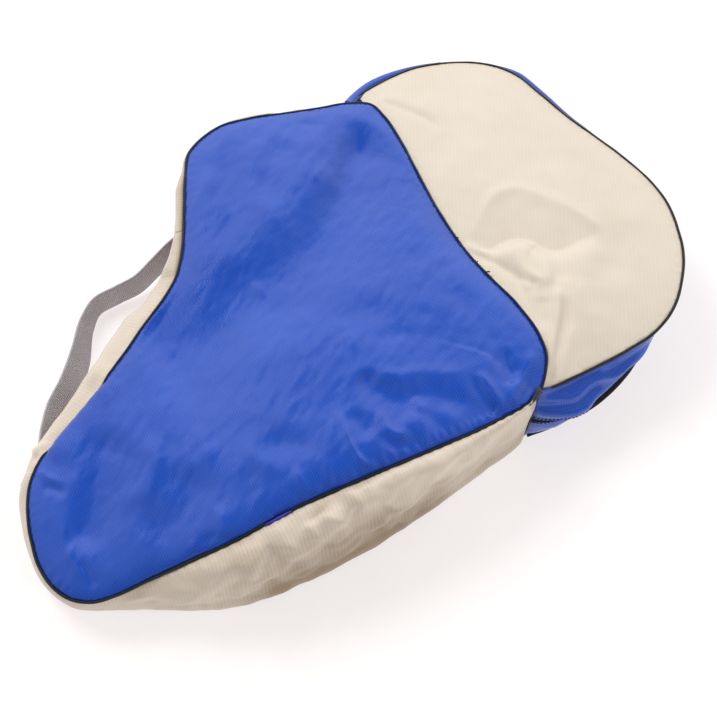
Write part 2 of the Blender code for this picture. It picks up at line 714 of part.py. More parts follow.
# ------------------------------------------------------------------ hang loop
loop_t = mouth_at(LOOP_ANGLE)
joint_point = boot_upper(loop_t)
n = Vector((joint_point.x - MOUTH_C[0], joint_point.y - MOUTH_C[1], 0)).normalized()
along = Vector((-n.y, n.x, 0))
top = Vector((joint_point.x, joint_point.y, joint_point.z - PIPE_R - 0.8)) + n * 3.4
joint_empty("loop_flip", top)
profile = [(0, 0.0), (1.2, -0.6), (1.6, -2.5), (1.6, -20), (0.9, -21.6), (-0.9, -21.6),
           (-1.6, -20), (-1.6, -2.5), (-1.2, -0.6)]
rows = [[top + along * s + n * o + Vector((0, 0, h)) for o, h in profile] for s in (-5.0, 5.0)]
bm = bmesh.new()
left = [bm.verts.new(world(p)) for p in rows[0]]
bm.faces.new(left)
made = bmesh.ops.extrude_face_region(bm, geom=bm.faces[:])
bmesh.ops.translate(bm, verts=[v for v in made["geom"] if isinstance(v, bmesh.types.BMVert)],
                    vec=along * 10.0 * MM)
bmesh.ops.recalc_face_normals(bm, faces=bm.faces)
mesh = bpy.data.meshes.new("collar_hang_loop")
bm.to_mesh(mesh)
bm.free()
add("collar_hang_loop", mesh, "web", "loop_flip")

bpy.context.view_layer.update()
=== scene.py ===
"""Looks of the boot-shaped skate bag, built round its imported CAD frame.

Lengths are in millimetres in the design frame of the part (x along the sole from
toe to heel, y from the sole to the collar, z through the thickness); place() turns
them into metres in the row frame.
"""

import math

import bmesh
import bpy
import numpy as np
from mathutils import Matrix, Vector, geometry


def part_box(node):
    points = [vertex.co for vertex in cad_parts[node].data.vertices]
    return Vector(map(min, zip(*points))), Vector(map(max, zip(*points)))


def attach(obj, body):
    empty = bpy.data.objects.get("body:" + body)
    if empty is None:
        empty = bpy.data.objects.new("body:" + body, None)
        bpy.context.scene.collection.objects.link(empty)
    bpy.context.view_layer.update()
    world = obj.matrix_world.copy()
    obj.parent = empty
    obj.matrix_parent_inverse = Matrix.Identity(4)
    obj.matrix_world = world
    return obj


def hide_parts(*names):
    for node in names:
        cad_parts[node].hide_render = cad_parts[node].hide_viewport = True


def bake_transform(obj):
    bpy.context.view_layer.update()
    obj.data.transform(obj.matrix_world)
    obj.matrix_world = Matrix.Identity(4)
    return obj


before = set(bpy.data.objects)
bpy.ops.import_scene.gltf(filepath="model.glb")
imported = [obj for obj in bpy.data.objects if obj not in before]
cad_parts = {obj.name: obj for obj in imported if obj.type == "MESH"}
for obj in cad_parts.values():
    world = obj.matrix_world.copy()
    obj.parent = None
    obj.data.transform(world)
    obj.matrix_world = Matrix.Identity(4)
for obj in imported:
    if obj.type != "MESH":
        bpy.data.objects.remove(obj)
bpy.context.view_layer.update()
SCENE = bpy.context.scene

# ------------------------------------------------------------------ dimensions
SHIFT = np.array([4.875, -50.0, 0.0])
FLOOR_Z = 2.25
MOUTH_C, MOUTH_R, MOUTH_Z = np.array([8.0, 148.0]), 93.0, 48.0
POCKET_C, POCKET_R, POCKET_Z = np.array([127.0, 54.0]), 167.5, 42.0
MOUTH_TEETH, MOUTH_TAPE, MOUTH_PARK = (60.5, 154.5), (48.8, 173.0), 54.0
POCKET_TEETH, POCKET_TAPE, POCKET_PARK = (-79.0, 79.0), (-88.2, 88.2), 85.0
CHAIN_GAP, CHAIN_W, TAPE_W = 0.6, 1.6, 9.0
RIM = CHAIN_GAP + CHAIN_W + TAPE_W + 0.4
PIPE_BOOT, PIPE_POCKET = 1.15, 1.25

# Camera of the view that the outlines below are given in: 717 x 717, 70 mm on 36 mm.
LENS, SENSOR, SIDE = 70.0, 36.0, 717.0
AZ, EL, FAR = math.radians(26.0), math.radians(60.0), 1150.0
TARGET = np.array([0.0, 0.0, 50.0])
RIGHT = np.array([math.cos(AZ), -math.sin(AZ), 0.0])
AHEAD = np.array([math.sin(AZ), math.cos(AZ), 0.0])
EYE = TARGET - FAR * math.cos(EL) * AHEAD + np.array([0, 0, FAR * math.sin(EL)])
LOOK = (TARGET - EYE) / FAR
UP = np.cross(RIGHT, LOOK)
FOCAL = SIDE * LENS / SENSOR


def place(p):
    return (np.asarray(p, float) + SHIFT) * 0.001


def seen_at(p):
    """Where points of the design frame show in the view, in pixels."""
    q = np.asarray(p, float) - EYE
    depth = q @ LOOK
    return np.stack([SIDE / 2 + FOCAL * (q @ RIGHT) / depth,
                     SIDE / 2 - FOCAL * (q @ UP) / depth], -1)


def under_pixel(px, py, z):
    """Point at height z that shows at a pixel of the view."""
    d = LOOK + RIGHT * (px - SIDE / 2) / FOCAL - UP * (py - SIDE / 2) / FOCAL
    return EYE + d * ((z - EYE[2]) / d[2])


# ------------------------------------------------------------------ outlines
# Upper piping of the boot, anticlockwise from the heel: pixel x, pixel y, height,
# then how far the gusset stands out at its waist, the waist's height, and how far
# out the lower piping lies.
BOOT = [
    (540.5, 391, 86, -3, 45, -7), (545.5, 374, 89, -8, 46, -18), (546.4, 355, 92, -13, 47, -29),
    (539.6, 336, 94, -12, 47, -28), (516.7, 304, 94, -8, 47, -19), (484.7, 272, 94, -4, 47, -14),
    (466.4, 251.5, 93, -3, 47, -11), (452.7, 233, 92, -3, 47, -11), (425.2, 187.5, 90, -5, 47, -13),
    (402.4, 144, 88, -5, 47, -14), (384, 116.6, 86, -6, 48, -15), (372, 105, 86, -8, 48, -15),
    (347.5, 103.3, 86, -7, 48, -12), (320, 108, 86, -3, 48, -9), (283.5, 113.4, 86, 0, 48, -8),
    (247, 119, 86, 0, 48, -8), (219.5, 127, 86, 0, 48, -8), (201, 139.5, 86, 0, 48, -8),
    (188, 155, 86, 0, 48, -8), (185, 175, 86, 1, 48, -6), (184, 204, 86, 2, 48, -5),
    (183.5, 225, 85.5, 3, 48, -5), (182.5, 245, 84.5, 13, 50, -3), (176, 276.7, 82, 23, 51, 1),
    (162.4, 301, 80, 26, 50, 3), (142.5, 327, 77, 28, 49, 5), (127, 350, 73, 27.5, 47, 6),
    (105.8, 377.7, 68, 25.5, 44, 6), (84.3, 403.8, 62, 22, 40, 6), (53.7, 440.5, 54, 17, 33, 3),
    (40, 460, 50, 14, 29, -1), (29.5, 484.7, 46, 11.5, 26, -4), (27.4, 516.7, 42, 7.5, 23, -6),
    (32, 544, 39, 6, 21, -6), (38.9, 567, 37, 3.5, 20, -6), (52.6, 587.5, 36, 1, 20, -7),
    (70.9, 599.9, 36, 0, 20, -10), (91.4, 602.6, 38, -1.5, 20, -12), (114.3, 596.7, 44, 1, 21, -8),
    (146.3, 581.6, 54, 10, 28, 1.5), (182.9, 564.7, 66, 19, 40, 9.5), (233, 541.8, 80, 26.5, 52, 18.5),
    (292.6, 509.8, 90, 29, 60, 22), (365.8, 477.8, 97, 24, 67, 15), (434.4, 449, 97, 15, 71, 3.5),
    (493.8, 422.9, 92, 6.5, 68, -6.5), (530.4, 402.4, 88, 1.5, 58, -9),
]
N_BOOT = len(BOOT)
# Upper piping of the pocket from the heel to the collar: pixel x, pixel y, height,
# and how far out the lower piping lies.
POCKET = [
    (538, 393, 79, -1), (562.4, 383, 78, 0), (594.4, 368, 77, -1), (631, 348.4, 78, -8),
    (658.4, 329.2, 80, -15), (674.4, 306.4, 82, -21), (682.2, 279, 84, -21), (683.6, 258.3, 84, -21),
    (679, 233, 84, -20), (668.5, 205.8, 84, -19), (649.3, 180.6, 84, -18), (626.4, 160, 84, -18),
    (599, 139.5, 84, -18), (567, 116.6, 84, -18), (539.6, 93.7, 83, -18), (512, 73.2, 83, -19),
    (493.8, 66.3, 83, -20), (466.4, 62.6, 82, -20), (439, 64, 82, -20), (411.5, 69.5, 81, -20),
    (384, 81.4, 80, -19), (365.8, 91.4, 80, -18), (352, 101, 79, -17),
]
HANDLE = [
    (-264, 45.5, 19), (-254, 61.5, 18.8), (-240, 81, 18), (-223, 98, 17),
    (-204, 124, 15), (-187, 153, 13.8), (-174, 166, 13.6), (-153, 169.5, 13.8),
    (-134, 171, 15), (-113, 179, 18), (-95, 186.5, 20.7), (-76.5, 192.5, 22),
]
HANDLE_LEAN = [10, 22, 32, 36, 30, 14, 5, 4, 6, 8, 9, 10]
LOOP_ANGLE = 69.0
BOOT_CROWN, POCKET_CROWN = 111.0, 95.0

FLAP_MID = np.array([-5.0, 190.5, 86.0])
FOLD_OUT = np.array([-0.372374, 0.928086, 0.0])
FLAP = dict(a="bag", b="mouth_flap", start=place(FLAP_MID), end=place(FLAP_MID + 42 * FOLD_OUT))
LID = dict(a="bag", b="pocket_lid", start=place((128, 54, 87)), end=place((172, 54, 87)))


# ------------------------------------------------------------------ small tools
def smooth01(a, b, x):
    t = np.clip((np.asarray(x, float) - a) / (b - a), 0, 1)
    return t * t * (3 - 2 * t)


def _lattice(ix, iy, iz, seed):
    h = (ix * 374761393 + iy * 668265263 + iz * 1442695041 + seed * 1274126177) & 0xFFFFFFFF
    h = ((h ^ (h >> 13)) * 1274126177) & 0xFFFFFFFF
    h = h ^ (h >> 16)
    return (h & 0xFFFFFF) / float(0xFFFFFF) * 2 - 1


def noise(p, seed=0):
    """Smooth value noise from -1 to 1."""
    p = np.asarray(p, float)
    if p.shape[-1] == 2:
        p = np.concatenate([p, np.zeros(p.shape[:-1] + (1,))], -1)
    i = np.floor(p).astype(np.int64)
    f = p - i
    u = f * f * f * (f * (f * 6 - 15) + 10)
    out = 0.0
    for dx in (0, 1):
        for dy in (0, 1):
            for dz in (0, 1):
                w = ((u[..., 0] if dx else 1 - u[..., 0]) * (u[..., 1] if dy else 1 - u[..., 1])
                     * (u[..., 2] if dz else 1 - u[..., 2]))
                out = out + w * _lattice(i[..., 0] + dx, i[..., 1] + dy, i[..., 2] + dz, seed)
    return out


def fbm(p, octaves=3, seed=0):
    out, amp = 0.0, 1.0
    for k in range(octaves):
        out = out + amp * noise(np.asarray(p) * 2.0**k, seed + 31 * k)
        amp *= 0.5
    return out


def spline(points, closed=False):
    """Chord-length Catmull-Rom through the points; f(t), t in control points."""
    p = np.array(points, float)
    if p.ndim == 1:
        p = p[:, None]
    n = len(p)
    full = np.vstack([2 * p[0] - p[1], p, 2 * p[-1] - p[-2]])

    def at(i):
        return p[np.mod(i, n)] if closed else full[np.clip(i + 1, 0, n + 1)]

    def slope(i):
        a, b, c = at(i - 1), at(i), at(i + 1)
        d1 = np.maximum(np.linalg.norm(b - a, axis=-1, keepdims=True), 1e-6)
        d2 = np.maximum(np.linalg.norm(c - b, axis=-1, keepdims=True), 1e-6)
        return ((b - a) / d1 * d2 + (c - b) / d2 * d1) / (d1 + d2)

    def f(t):
        t = np.asarray(t, float)
        i = np.floor(t).astype(int)
        if not closed:
            i = np.clip(i, 0, n - 2)
        u = (t - i)[..., None]
        a, b = at(i), at(i + 1)
        d = np.linalg.norm(b - a, axis=-1, keepdims=True)
        return (a * (2 * u**3 - 3 * u**2 + 1) + slope(i) * d * (u**3 - 2 * u**2 + u)
                + b * (3 * u**2 - 2 * u**3) + slope(i + 1) * d * (u**3 - u**2))

    return f


def evenly(f, t0, t1, step):
    """Parameters at an even spacing along a curve."""
    t = np.linspace(t0, t1, int(abs(t1 - t0) * 40) + 8)
    s = np.concatenate([[0], np.cumsum(np.linalg.norm(np.diff(f(t), axis=0), axis=1))])
    n = max(3, int(round(s[-1] / step)) + 1)
    return np.interp(np.linspace(0, s[-1], n), s, t)


def arc(points):
    return np.concatenate([[0], np.cumsum(np.linalg.norm(np.diff(points, axis=0), axis=1))])


def on_circle(centre, radius, degrees, z):
    a = np.radians(np.asarray(degrees, float))
    z = np.broadcast_to(np.asarray(z, float), a.shape)
    return np.stack([centre[0] + radius * np.cos(a), centre[1] + radius * np.sin(a), z], -1)


def angle_about(centre, p):
    return np.degrees(np.arctan2(p[..., 1] - centre[1], p[..., 0] - centre[0]))


def unit(v):
    return v / np.maximum(np.linalg.norm(v, axis=-1, keepdims=True), 1e-9)


def outward(f, t):
    """Plan direction out of an anticlockwise outline."""
    d = f(np.asarray(t) + 0.03) - f(np.asarray(t) - 0.03)
    return unit(np.stack([d[..., 1], -d[..., 0], np.zeros(d.shape[:-1])], -1))


boot_upper = spline([under_pixel(*q[:3]) for q in BOOT], True)
_out_m, _z_m, _out_l = (spline([q[k] for q in BOOT], True) for k in (3, 4, 5))
pocket_upper = spline([under_pixel(*q[:3]) for q in POCKET])
_pocket_out = spline([q[3] for q in POCKET])


def param_at(f, t0, t1, centre, degrees):
    t = np.linspace(t0, t1, 900)
    return float(np.interp(degrees, angle_about(centre, f(t)), t))


MOUTH_BACK = param_at(boot_upper, 12.0, 17.0, MOUTH_C, 47.8)
MOUTH_FRONT = param_at(boot_upper, 17.0, 21.6, MOUTH_C, 173.9)


def boot_waist(t):
    t = np.asarray(t, float)
    u = boot_upper(t)
    free = u + outward(boot_upper, t) * _out_m(t)
    free[..., 2] = _z_m(t)[..., 0]
    tm = np.mod(t, N_BOOT)
    ring = on_circle(MOUTH_C, MOUTH_R, angle_about(MOUTH_C, u), MOUTH_Z)
    w = smooth01(MOUTH_BACK - 1.0, MOUTH_BACK, tm) * (1 - smooth01(MOUTH_FRONT, MOUTH_FRONT + 0.9, tm))
    return free * (1 - w[..., None]) + ring * w[..., None]


def boot_lower(t):
    t = np.asarray(t, float)
    p = boot_upper(t) + outward(boot_upper, t) * _out_l(t)
    p[..., 2] = FLOOR_Z
    return p


def pocket_waist(t):
    return on_circle(POCKET_C, POCKET_R, angle_about(POCKET_C, pocket_upper(t)), POCKET_Z)


def pocket_lower(t):
    t = np.asarray(t, float)
    p = pocket_upper(t) + outward(pocket_upper, t) * _pocket_out(t)
    p[..., 2] = FLOOR_Z
    return p


def bend(top, waist, s, full=0.55):
    """Gusset between its waist (s 0, upright there) and a piping (s 1); rows by columns.
    The nearer full is to 1, the squarer its shoulder."""
    q = waist.copy()
    q[:, 2] = waist[:, 2] + full * (top[:, 2] - waist[:, 2])
    s = np.asarray(s)[None, :, None]
    return waist[:, None] * (1 - s) ** 2 + q[:, None] * 2 * s * (1 - s) + top[:, None] * s**2


def even_rows(p, n):
    """Every row resampled to n points at an even spacing."""
    out = np.empty((len(p), n, 3))
    for i, row in enumerate(p):
        s = arc(row)
        want = np.linspace(0, s[-1], n)
        for k in range(3):
            out[i, :, k] = np.interp(want, s, row[:, k])
    return out


def rows_between(p, z_top, z_low, n):
    """Rows of a gusset cut to a range of heights; the rows run downwards."""
    out = np.empty((len(p), n, 3))
    for i, row in enumerate(p):
        zt = min(row[0, 2], z_top[i] if np.ndim(z_top) else z_top)
        zl = max(row[-1, 2], z_low[i] if np.ndim(z_low) else z_low)
        z = np.linspace(zt, zl, n)
        for k in range(2):
            out[i, :, k] = np.interp(-z, -row[:, 2], row[:, k])
        out[i, :, 2] = z
    return out


def grid_normals(p, closed=False):
    """Normals of a grid of points."""
    if closed:
        du = np.roll(p, -1, 0) - np.roll(p, 1, 0)
    else:
        du = np.gradient(p, axis=0)
    dv = np.gradient(p, axis=1)
    return unit(np.cross(du, dv))


def near_line(p, path):
    """Signed distance from points in a plane to a line through the path, and the place along it."""
    path = np.asarray(path, float)
    if len(path) > 2:
        path = spline(path)(np.linspace(0, len(path) - 1, 8 * (len(path) - 1) + 1))
    seg = np.diff(path, axis=0)
    length = np.linalg.norm(seg, axis=1)
    cum = np.concatenate([[0], np.cumsum(length)])
    best = np.full(len(p), 1e9)
    along = np.zeros(len(p))
    side = np.ones(len(p))
    for k in range(len(seg)):
        d = p - path[k]
        u = np.clip((d @ seg[k]) / length[k] ** 2, 0, 1)
        q = d - u[:, None] * seg[k]
        dist = np.hypot(q[:, 0], q[:, 1])
        m = dist < best
        best[m] = dist[m]
        along[m] = ((cum[k] + u * length[k]) / cum[-1])[m]
        side[m] = np.sign(seg[k, 0] * d[:, 1] - seg[k, 1] * d[:, 0])[m]
    return best * side, along


def fold(p, path, height, width, kind="soft", ends=(0.3, 0.3)):
    """Height of one fold in the cloth at points given in pixels of the view."""
    d, s = near_line(p, path)
    if isinstance(width, list):
        width = np.interp(s, np.linspace(0, 1, len(width)), width)
    fade = smooth01(0, max(ends[0], 1e-3), s) * smooth01(0, max(ends[1], 1e-3), 1 - s)
    if kind == "soft":
        shape = np.exp(-(d / width) ** 2)
    elif kind == "sharp":
        shape = np.exp(-np.sqrt(d * d + (0.25 * width) ** 2) / width + 0.25)
    elif kind == "lean":             # steep on the left of the path, gentle on its right
        w = np.where(d < 0, width * 0.58, width)
        shape = np.exp(-(d / w) ** 2)
    else:                            # "step": high on the right of the path
        shape = 0.5 * (1 + np.tanh(d / width)) * np.exp(-(np.maximum(d, 0) / (5 * width)) ** 2)
    return height * fade * shape


def creases(p, folds, seed):
    """Flat facets between straight creases, as in cloth that has been crushed: folded sheets of
    (length, direction in degrees, height) laid over one another, bent by a slow drift."""
    p = np.asarray(p, float)
    drift = np.stack([noise(p / 55.0, seed), noise(p / 55.0 + 9.7, seed + 1)], -1) * 14.0
    q = p + drift
    out = 0.0
    for k, (length, way, height) in enumerate(folds):
        a = math.radians(way)
        x = (q[..., 0] * math.cos(a) + q[..., 1] * math.sin(a)) / length + 0.37 * k
        tri = 1 - 4 * np.abs(x - np.floor(x) - 0.5)
        out = out + height * tri * (0.55 + 0.45 * noise(p / 40.0 + 3.1 * k, seed + 5 + k))
    return out


def lump(p, outline, height, width):
    """Rounded lump inside a closed outline, in pixels of the view."""
    ring_ = spline(outline, True)(np.linspace(0, len(outline), 12 * len(outline), endpoint=False))
    d, _ = to_edge(ring_, p)
    return np.where(inside(ring_, p), height * (1 - np.exp(-d / width)), 0.0)


# ------------------------------------------------------------------ meshes
def mesh_object(name, verts, faces, materials, uv=None, smooth=True, attributes=None):
    me = bpy.data.meshes.new(name)
    me.from_pydata([tuple(v) for v in np.asarray(verts, float)], [], [tuple(int(i) for i in f) for f in faces])
    me.update()
    if uv is not None:
        layer = me.uv_layers.new(name="cloth")
        index = np.zeros(len(me.loops), np.int32)
        me.loops.foreach_get("vertex_index", index)
        layer.data.foreach_set("uv", np.asarray(uv, np.float32)[index].ravel())
    for key, value in (attributes or {}).items():
        a = me.attributes.new(key, "FLOAT", "POINT")
        a.data.foreach_set("value", np.asarray(value, np.float32))
    for m in materials if isinstance(materials, (list, tuple)) else [materials]:
        me.materials.append(m)
    if smooth:
        me.shade_smooth()
    obj = bpy.data.objects.new(name, me)
    SCENE.collection.objects.link(obj)
    return obj


def grid_faces(rows, cols, closed=False, flip=False):
    faces = []
    for i in range(rows if closed else rows - 1):
        a, b = i * cols, ((i + 1) % rows) * cols
        for j in range(cols - 1):
            f = (a + j, b + j, b + j + 1, a + j + 1)
            faces.append(f[::-1] if flip else f)
    return faces


def solidify(obj, thick, offset=-1.0, lining=False):
    m = obj.modifiers.new("thickness", "SOLIDIFY")
    m.thickness = thick * 0.001
    m.offset = offset
    m.use_even_offset = False
    m.use_rim = True
    if lining:
        m.material_offset = 1
        m.material_offset_rim = 0
    return obj


def sweep(path, section, closed=False, ref=None, scale=None, caps=(True, True)):
    """Vertices and faces of a section swept along a path. section is points (across, up);
    ref gives the 'up' direction at each point."""
    path = np.asarray(path, float)
    n, k = len(path), len(section)
    if closed:
        tan = unit(np.roll(path, -1, 0) - np.roll(path, 1, 0))
    else:
        tan = unit(np.gradient(path, axis=0))
    if ref is None:
        ref = np.tile([0.0, 0.0, 1.0], (n, 1))
    side = unit(np.cross(tan, ref))
    up = np.cross(side, tan)
    sec = np.asarray(section, float)
    sc = np.ones(n) if scale is None else np.asarray(scale, float)
    v = (path[:, None] + side[:, None] * (sec[None, :, 0:1] * sc[:, None, None])
         + up[:, None] * (sec[None, :, 1:2] * sc[:, None, None])).reshape(-1, 3)
    faces = []
    for i in range(n if closed else n - 1):
        a, b = i * k, ((i + 1) % n) * k
        for j in range(k):
            faces.append((a + j, a + (j + 1) % k, b + (j + 1) % k, b + j))
    if not closed and caps[0]:
        faces.append(tuple(range(k - 1, -1, -1)))
    if not closed and caps[1]:
        faces.append(tuple((n - 1) * k + j for j in range(k)))
    s = arc(path) if not closed else arc(np.vstack([path, path[:1]]))[:-1]
    uv = np.stack([np.repeat(s, k), np.tile(np.linspace(0, 1, k, endpoint=False), n)
                   * 2 * math.pi * np.abs(sec).max()], -1) * 0.001
    return v, faces, uv


def ring(radius, sides, flat=1.0):
    a = np.linspace(0, 2 * math.pi, sides, endpoint=False)
    return np.stack([radius * np.cos(a), radius * flat * np.sin(a)], -1)


def piping(name, path, radius, material, closed=False, seed=1):
    s = arc(path)
    wob = 1 + 0.05 * noise(np.stack([s / 9, s * 0 + seed], -1), seed)
    jig = np.stack([noise(np.stack([s / 17, s * 0 + k * 7.3 + seed], -1), seed + k) for k in range(3)], -1)
    if not closed:
        jig *= (smooth01(0, 12, s) * smooth01(0, 12, s[-1] - s))[:, None]
    path = np.asarray(path) + jig * np.array([0.25, 0.25, 0.3])
    v, f, uv = sweep(path, ring(radius, 12), closed, scale=wob)
    return mesh_object(name, place(v), f, material, uv)


def thread(name, lines, pitch, length, radius, material):
    """Rows of stitches. lines is [(points, normals)]; a stitch is a low arch of thread."""
    verts, faces = [], []
    sec = ring(1.0, 6)
    for pts, nrm in lines:
        pts, nrm = np.asarray(pts, float), np.asarray(nrm, float)
        s = arc(pts)
        for k, at in enumerate(np.arange(pitch * 0.5, s[-1] - pitch * 0.4, pitch)):
            u = at + length * np.array([-0.5, -0.32, 0.0, 0.32, 0.5])
            u = np.clip(u, 0, s[-1])
            c = np.stack([np.interp(u, s, pts[:, i]) for i in range(3)], -1)
            n = unit(np.stack([np.interp(u, s, nrm[:, i]) for i in range(3)], -1))
            lift = radius * np.array([-0.9, 0.35, 0.75, 0.35, -0.9])
            c = c + n * lift[:, None]
            v, f, _ = sweep(c, sec * radius, ref=n, scale=np.array([0.55, 0.95, 1.0, 0.95, 0.55]))
            base = len(verts)
            verts.extend(v)
            faces.extend(tuple(i + base for i in q) for q in f)
    return mesh_object(name, place(np.array(verts)), faces, material)


def inside(poly, p):
    x, y = p[:, 0], p[:, 1]
    hit = np.zeros(len(p), bool)
    a, b = poly, np.roll(poly, -1, 0)
    for (x0, y0), (x1, y1) in zip(a, b):
        cross = (y0 > y) != (y1 > y)
        with np.errstate(divide="ignore", invalid="ignore"):
            hit ^= cross & (x < (x1 - x0) * (y - y0) / (y1 - y0) + x0)
    return hit


def to_edge(poly, p, chunk=2000):
    """Distance from points to the nearest point of an outline, and which that is."""
    d, k = np.empty(len(p)), np.empty(len(p), int)
    for i in range(0, len(p), chunk):
        q = ((p[i:i + chunk, None] - poly[None]) ** 2).sum(-1)
        k[i:i + chunk] = q.argmin(1)
        d[i:i + chunk] = np.sqrt(q.min(1))
    return d, k


def triangulate(outline, step):
    """Even triangles over a flat outline; the outline's points come first."""
    lo, hi = outline.min(0), outline.max(0)
    rows = np.arange(lo[1], hi[1], step * math.sqrt(3) / 2)
    pts = []
    for k, y in enumerate(rows):
        x = np.arange(lo[0] + (step / 2 if k % 2 else 0), hi[0], step)
        pts.append(np.stack([x, np.full(len(x), y)], -1))
    pts = np.vstack(pts)
    pts = pts[inside(outline, pts)]
    d, _ = to_edge(outline, pts)
    pts = pts[d > 0.62 * step]
    n = len(outline)
    every = np.vstack([outline, pts])
    out = geometry.delaunay_2d_cdt([Vector(p) for p in every], [], [list(range(n))], 1, 1e-5)
    v = np.array([tuple(p) for p in out[0]])
    f = np.array([q for q in out[2] if len(q) == 3])
    return v, f


def inflate(v, f, held, z_held, crown, fullness=0.85):
    """Height of a stuffed panel over its flat mesh: the held edge's heights carried
    inwards, plus the bulge of a stretched sheet under even pressure."""
    i, j, k = f.T
    rows, cols, vals = [], [], []
    area = np.zeros(len(v))
    for a, b, c in ((i, j, k), (j, k, i), (k, i, j)):
        e1, e2 = v[a] - v[c], v[b] - v[c]
        cr = np.abs(e1[:, 0] * e2[:, 1] - e1[:, 1] * e2[:, 0])
        cot = np.clip((e1 * e2).sum(1) / np.maximum(cr, 1e-9), 0.02, 20) * 0.5
        rows += [a, b]
        cols += [b, a]
        vals += [cot, cot]
        np.add.at(area, c, cr / 6)
    rows, cols, vals = np.concatenate(rows), np.concatenate(cols), np.concatenate(vals)
    diag = np.bincount(rows, vals, len(v))

    def lap(x):
        return diag * x - np.bincount(rows, vals * x[cols], len(v))

    free = ~held

    def solve(b, x0):
        x = x0.copy()
        r = np.where(free, b - lap(x), 0)
        m = np.where(free, 1 / diag, 0)
        z = m * r
        p = z.copy()
        rz = r @ z
        for _ in range(900):
            ap = np.where(free, lap(p), 0)
            al = rz / max(p @ ap, 1e-30)
            x += al * p
            r -= al * ap
            z = m * r
            new = r @ z
            if new < 1e-14 * max(rz, 1e-30) or new < 1e-12:
                break
            p = z + (new / rz) * p
            rz = new
        return x

    start = np.where(held, z_held, z_held[held].mean())
    base = solve(np.zeros(len(v)), start)
    bulge = solve(area, np.zeros(len(v)))
    bulge = np.maximum(bulge / bulge.max(), 0) ** fullness
    lo, hi = 0.0, 80.0
    for _ in range(40):
        mid = (lo + hi) / 2
        lo, hi = (mid, hi) if (base + mid * bulge).max() < crown else (lo, mid)
    return base + lo * bulge, bulge


# ------------------------------------------------------------------ materials
def srgb(r, g, b):
    def lin(c):
        c /= 255.0
        return c / 12.92 if c <= 0.04045 else ((c + 0.055) / 1.055) ** 2.4
    return (lin(r), lin(g), lin(b), 1.0)


class Shader:
    """Small helper to wire a Principled material."""

    def __init__(self, name):
        self.mat = bpy.data.materials.new(name)
        self.mat.use_nodes = True
        self.tree = self.mat.node_tree
        self.bsdf = self.tree.nodes["Principled BSDF"]

    def put(self, socket, value):
        if isinstance(value, bpy.types.NodeSocket):
            self.tree.links.new(value, socket)
        else:
            socket.default_value = value

    def node(self, kind, **settings):
        n = self.tree.nodes.new(kind)
        for k, v in settings.items():
            setattr(n, k, v)
        return n

    def math(self, op, a, b=None, c=None):
        n = self.node("ShaderNodeMath", operation=op)
        for i, x in enumerate((a, b, c)):
            if x is not None:
                self.put(n.inputs[i], x)
        return n.outputs[0]

    def uv(self, angle=0.0):
        n = self.node("ShaderNodeUVMap", uv_map="cloth")
        if not angle:
            return n.outputs[0]
        m = self.node("ShaderNodeMapping")
        m.inputs["Rotation"].default_value = (0, 0, angle)
        self.put(m.inputs["Vector"], n.outputs[0])
        return m.outputs[0]

    def split(self, vector):
        n = self.node("ShaderNodeSeparateXYZ")
        self.put(n.inputs[0], vector)
        return n.outputs[0], n.outputs[1], n.outputs[2]

    def wave(self, x, pitch, shift=None):
        """Sine of a length along x, from -1 to 1."""
        a = self.math("MULTIPLY", x, 2 * math.pi / pitch)
        if shift is not None:
            a = self.math("ADD", a, shift)
        return self.math("SINE", a)

    def noise(self, vector, scale, detail=2.0, rough=0.5):
        n = self.node("ShaderNodeTexNoise")
        n.inputs["Scale"].default_value = scale
        n.inputs["Detail"].default_value = detail
        n.inputs["Roughness"].default_value = rough
        self.put(n.inputs["Vector"], vector)
        return n.outputs["Fac"]

    def mix(self, factor, a, b):
        n = self.node("ShaderNodeMix", data_type="RGBA", clamp_factor=True)
        self.put(n.inputs[0], factor)
        self.put(n.inputs[6], a)
        self.put(n.inputs[7], b)
        return n.outputs[2]

    def span(self, x, a, b, c=0.0, d=1.0):
        n = self.node("ShaderNodeMapRange", clamp=True)
        self.put(n.inputs[0], x)
        for i, v in enumerate((a, b, c, d)):
            n.inputs[i + 1].default_value = v
        return n.outputs[0]

    def attribute(self, name):
        return self.node("ShaderNodeAttribute", attribute_name=name).outputs["Fac"]

    def bump(self, height, distance, strength=1.0, normal=None):
        n = self.node("ShaderNodeBump")
        n.inputs["Strength"].default_value = strength
        n.inputs["Distance"].default_value = distance
        self.put(n.inputs["Height"], height)
        if normal is not None:
            self.put(n.inputs["Normal"], normal)
        return n.outputs[0]

    def set(self, **values):
        for k, v in values.items():
            self.put(self.bsdf.inputs[k.replace("_", " ")], v)
        return self


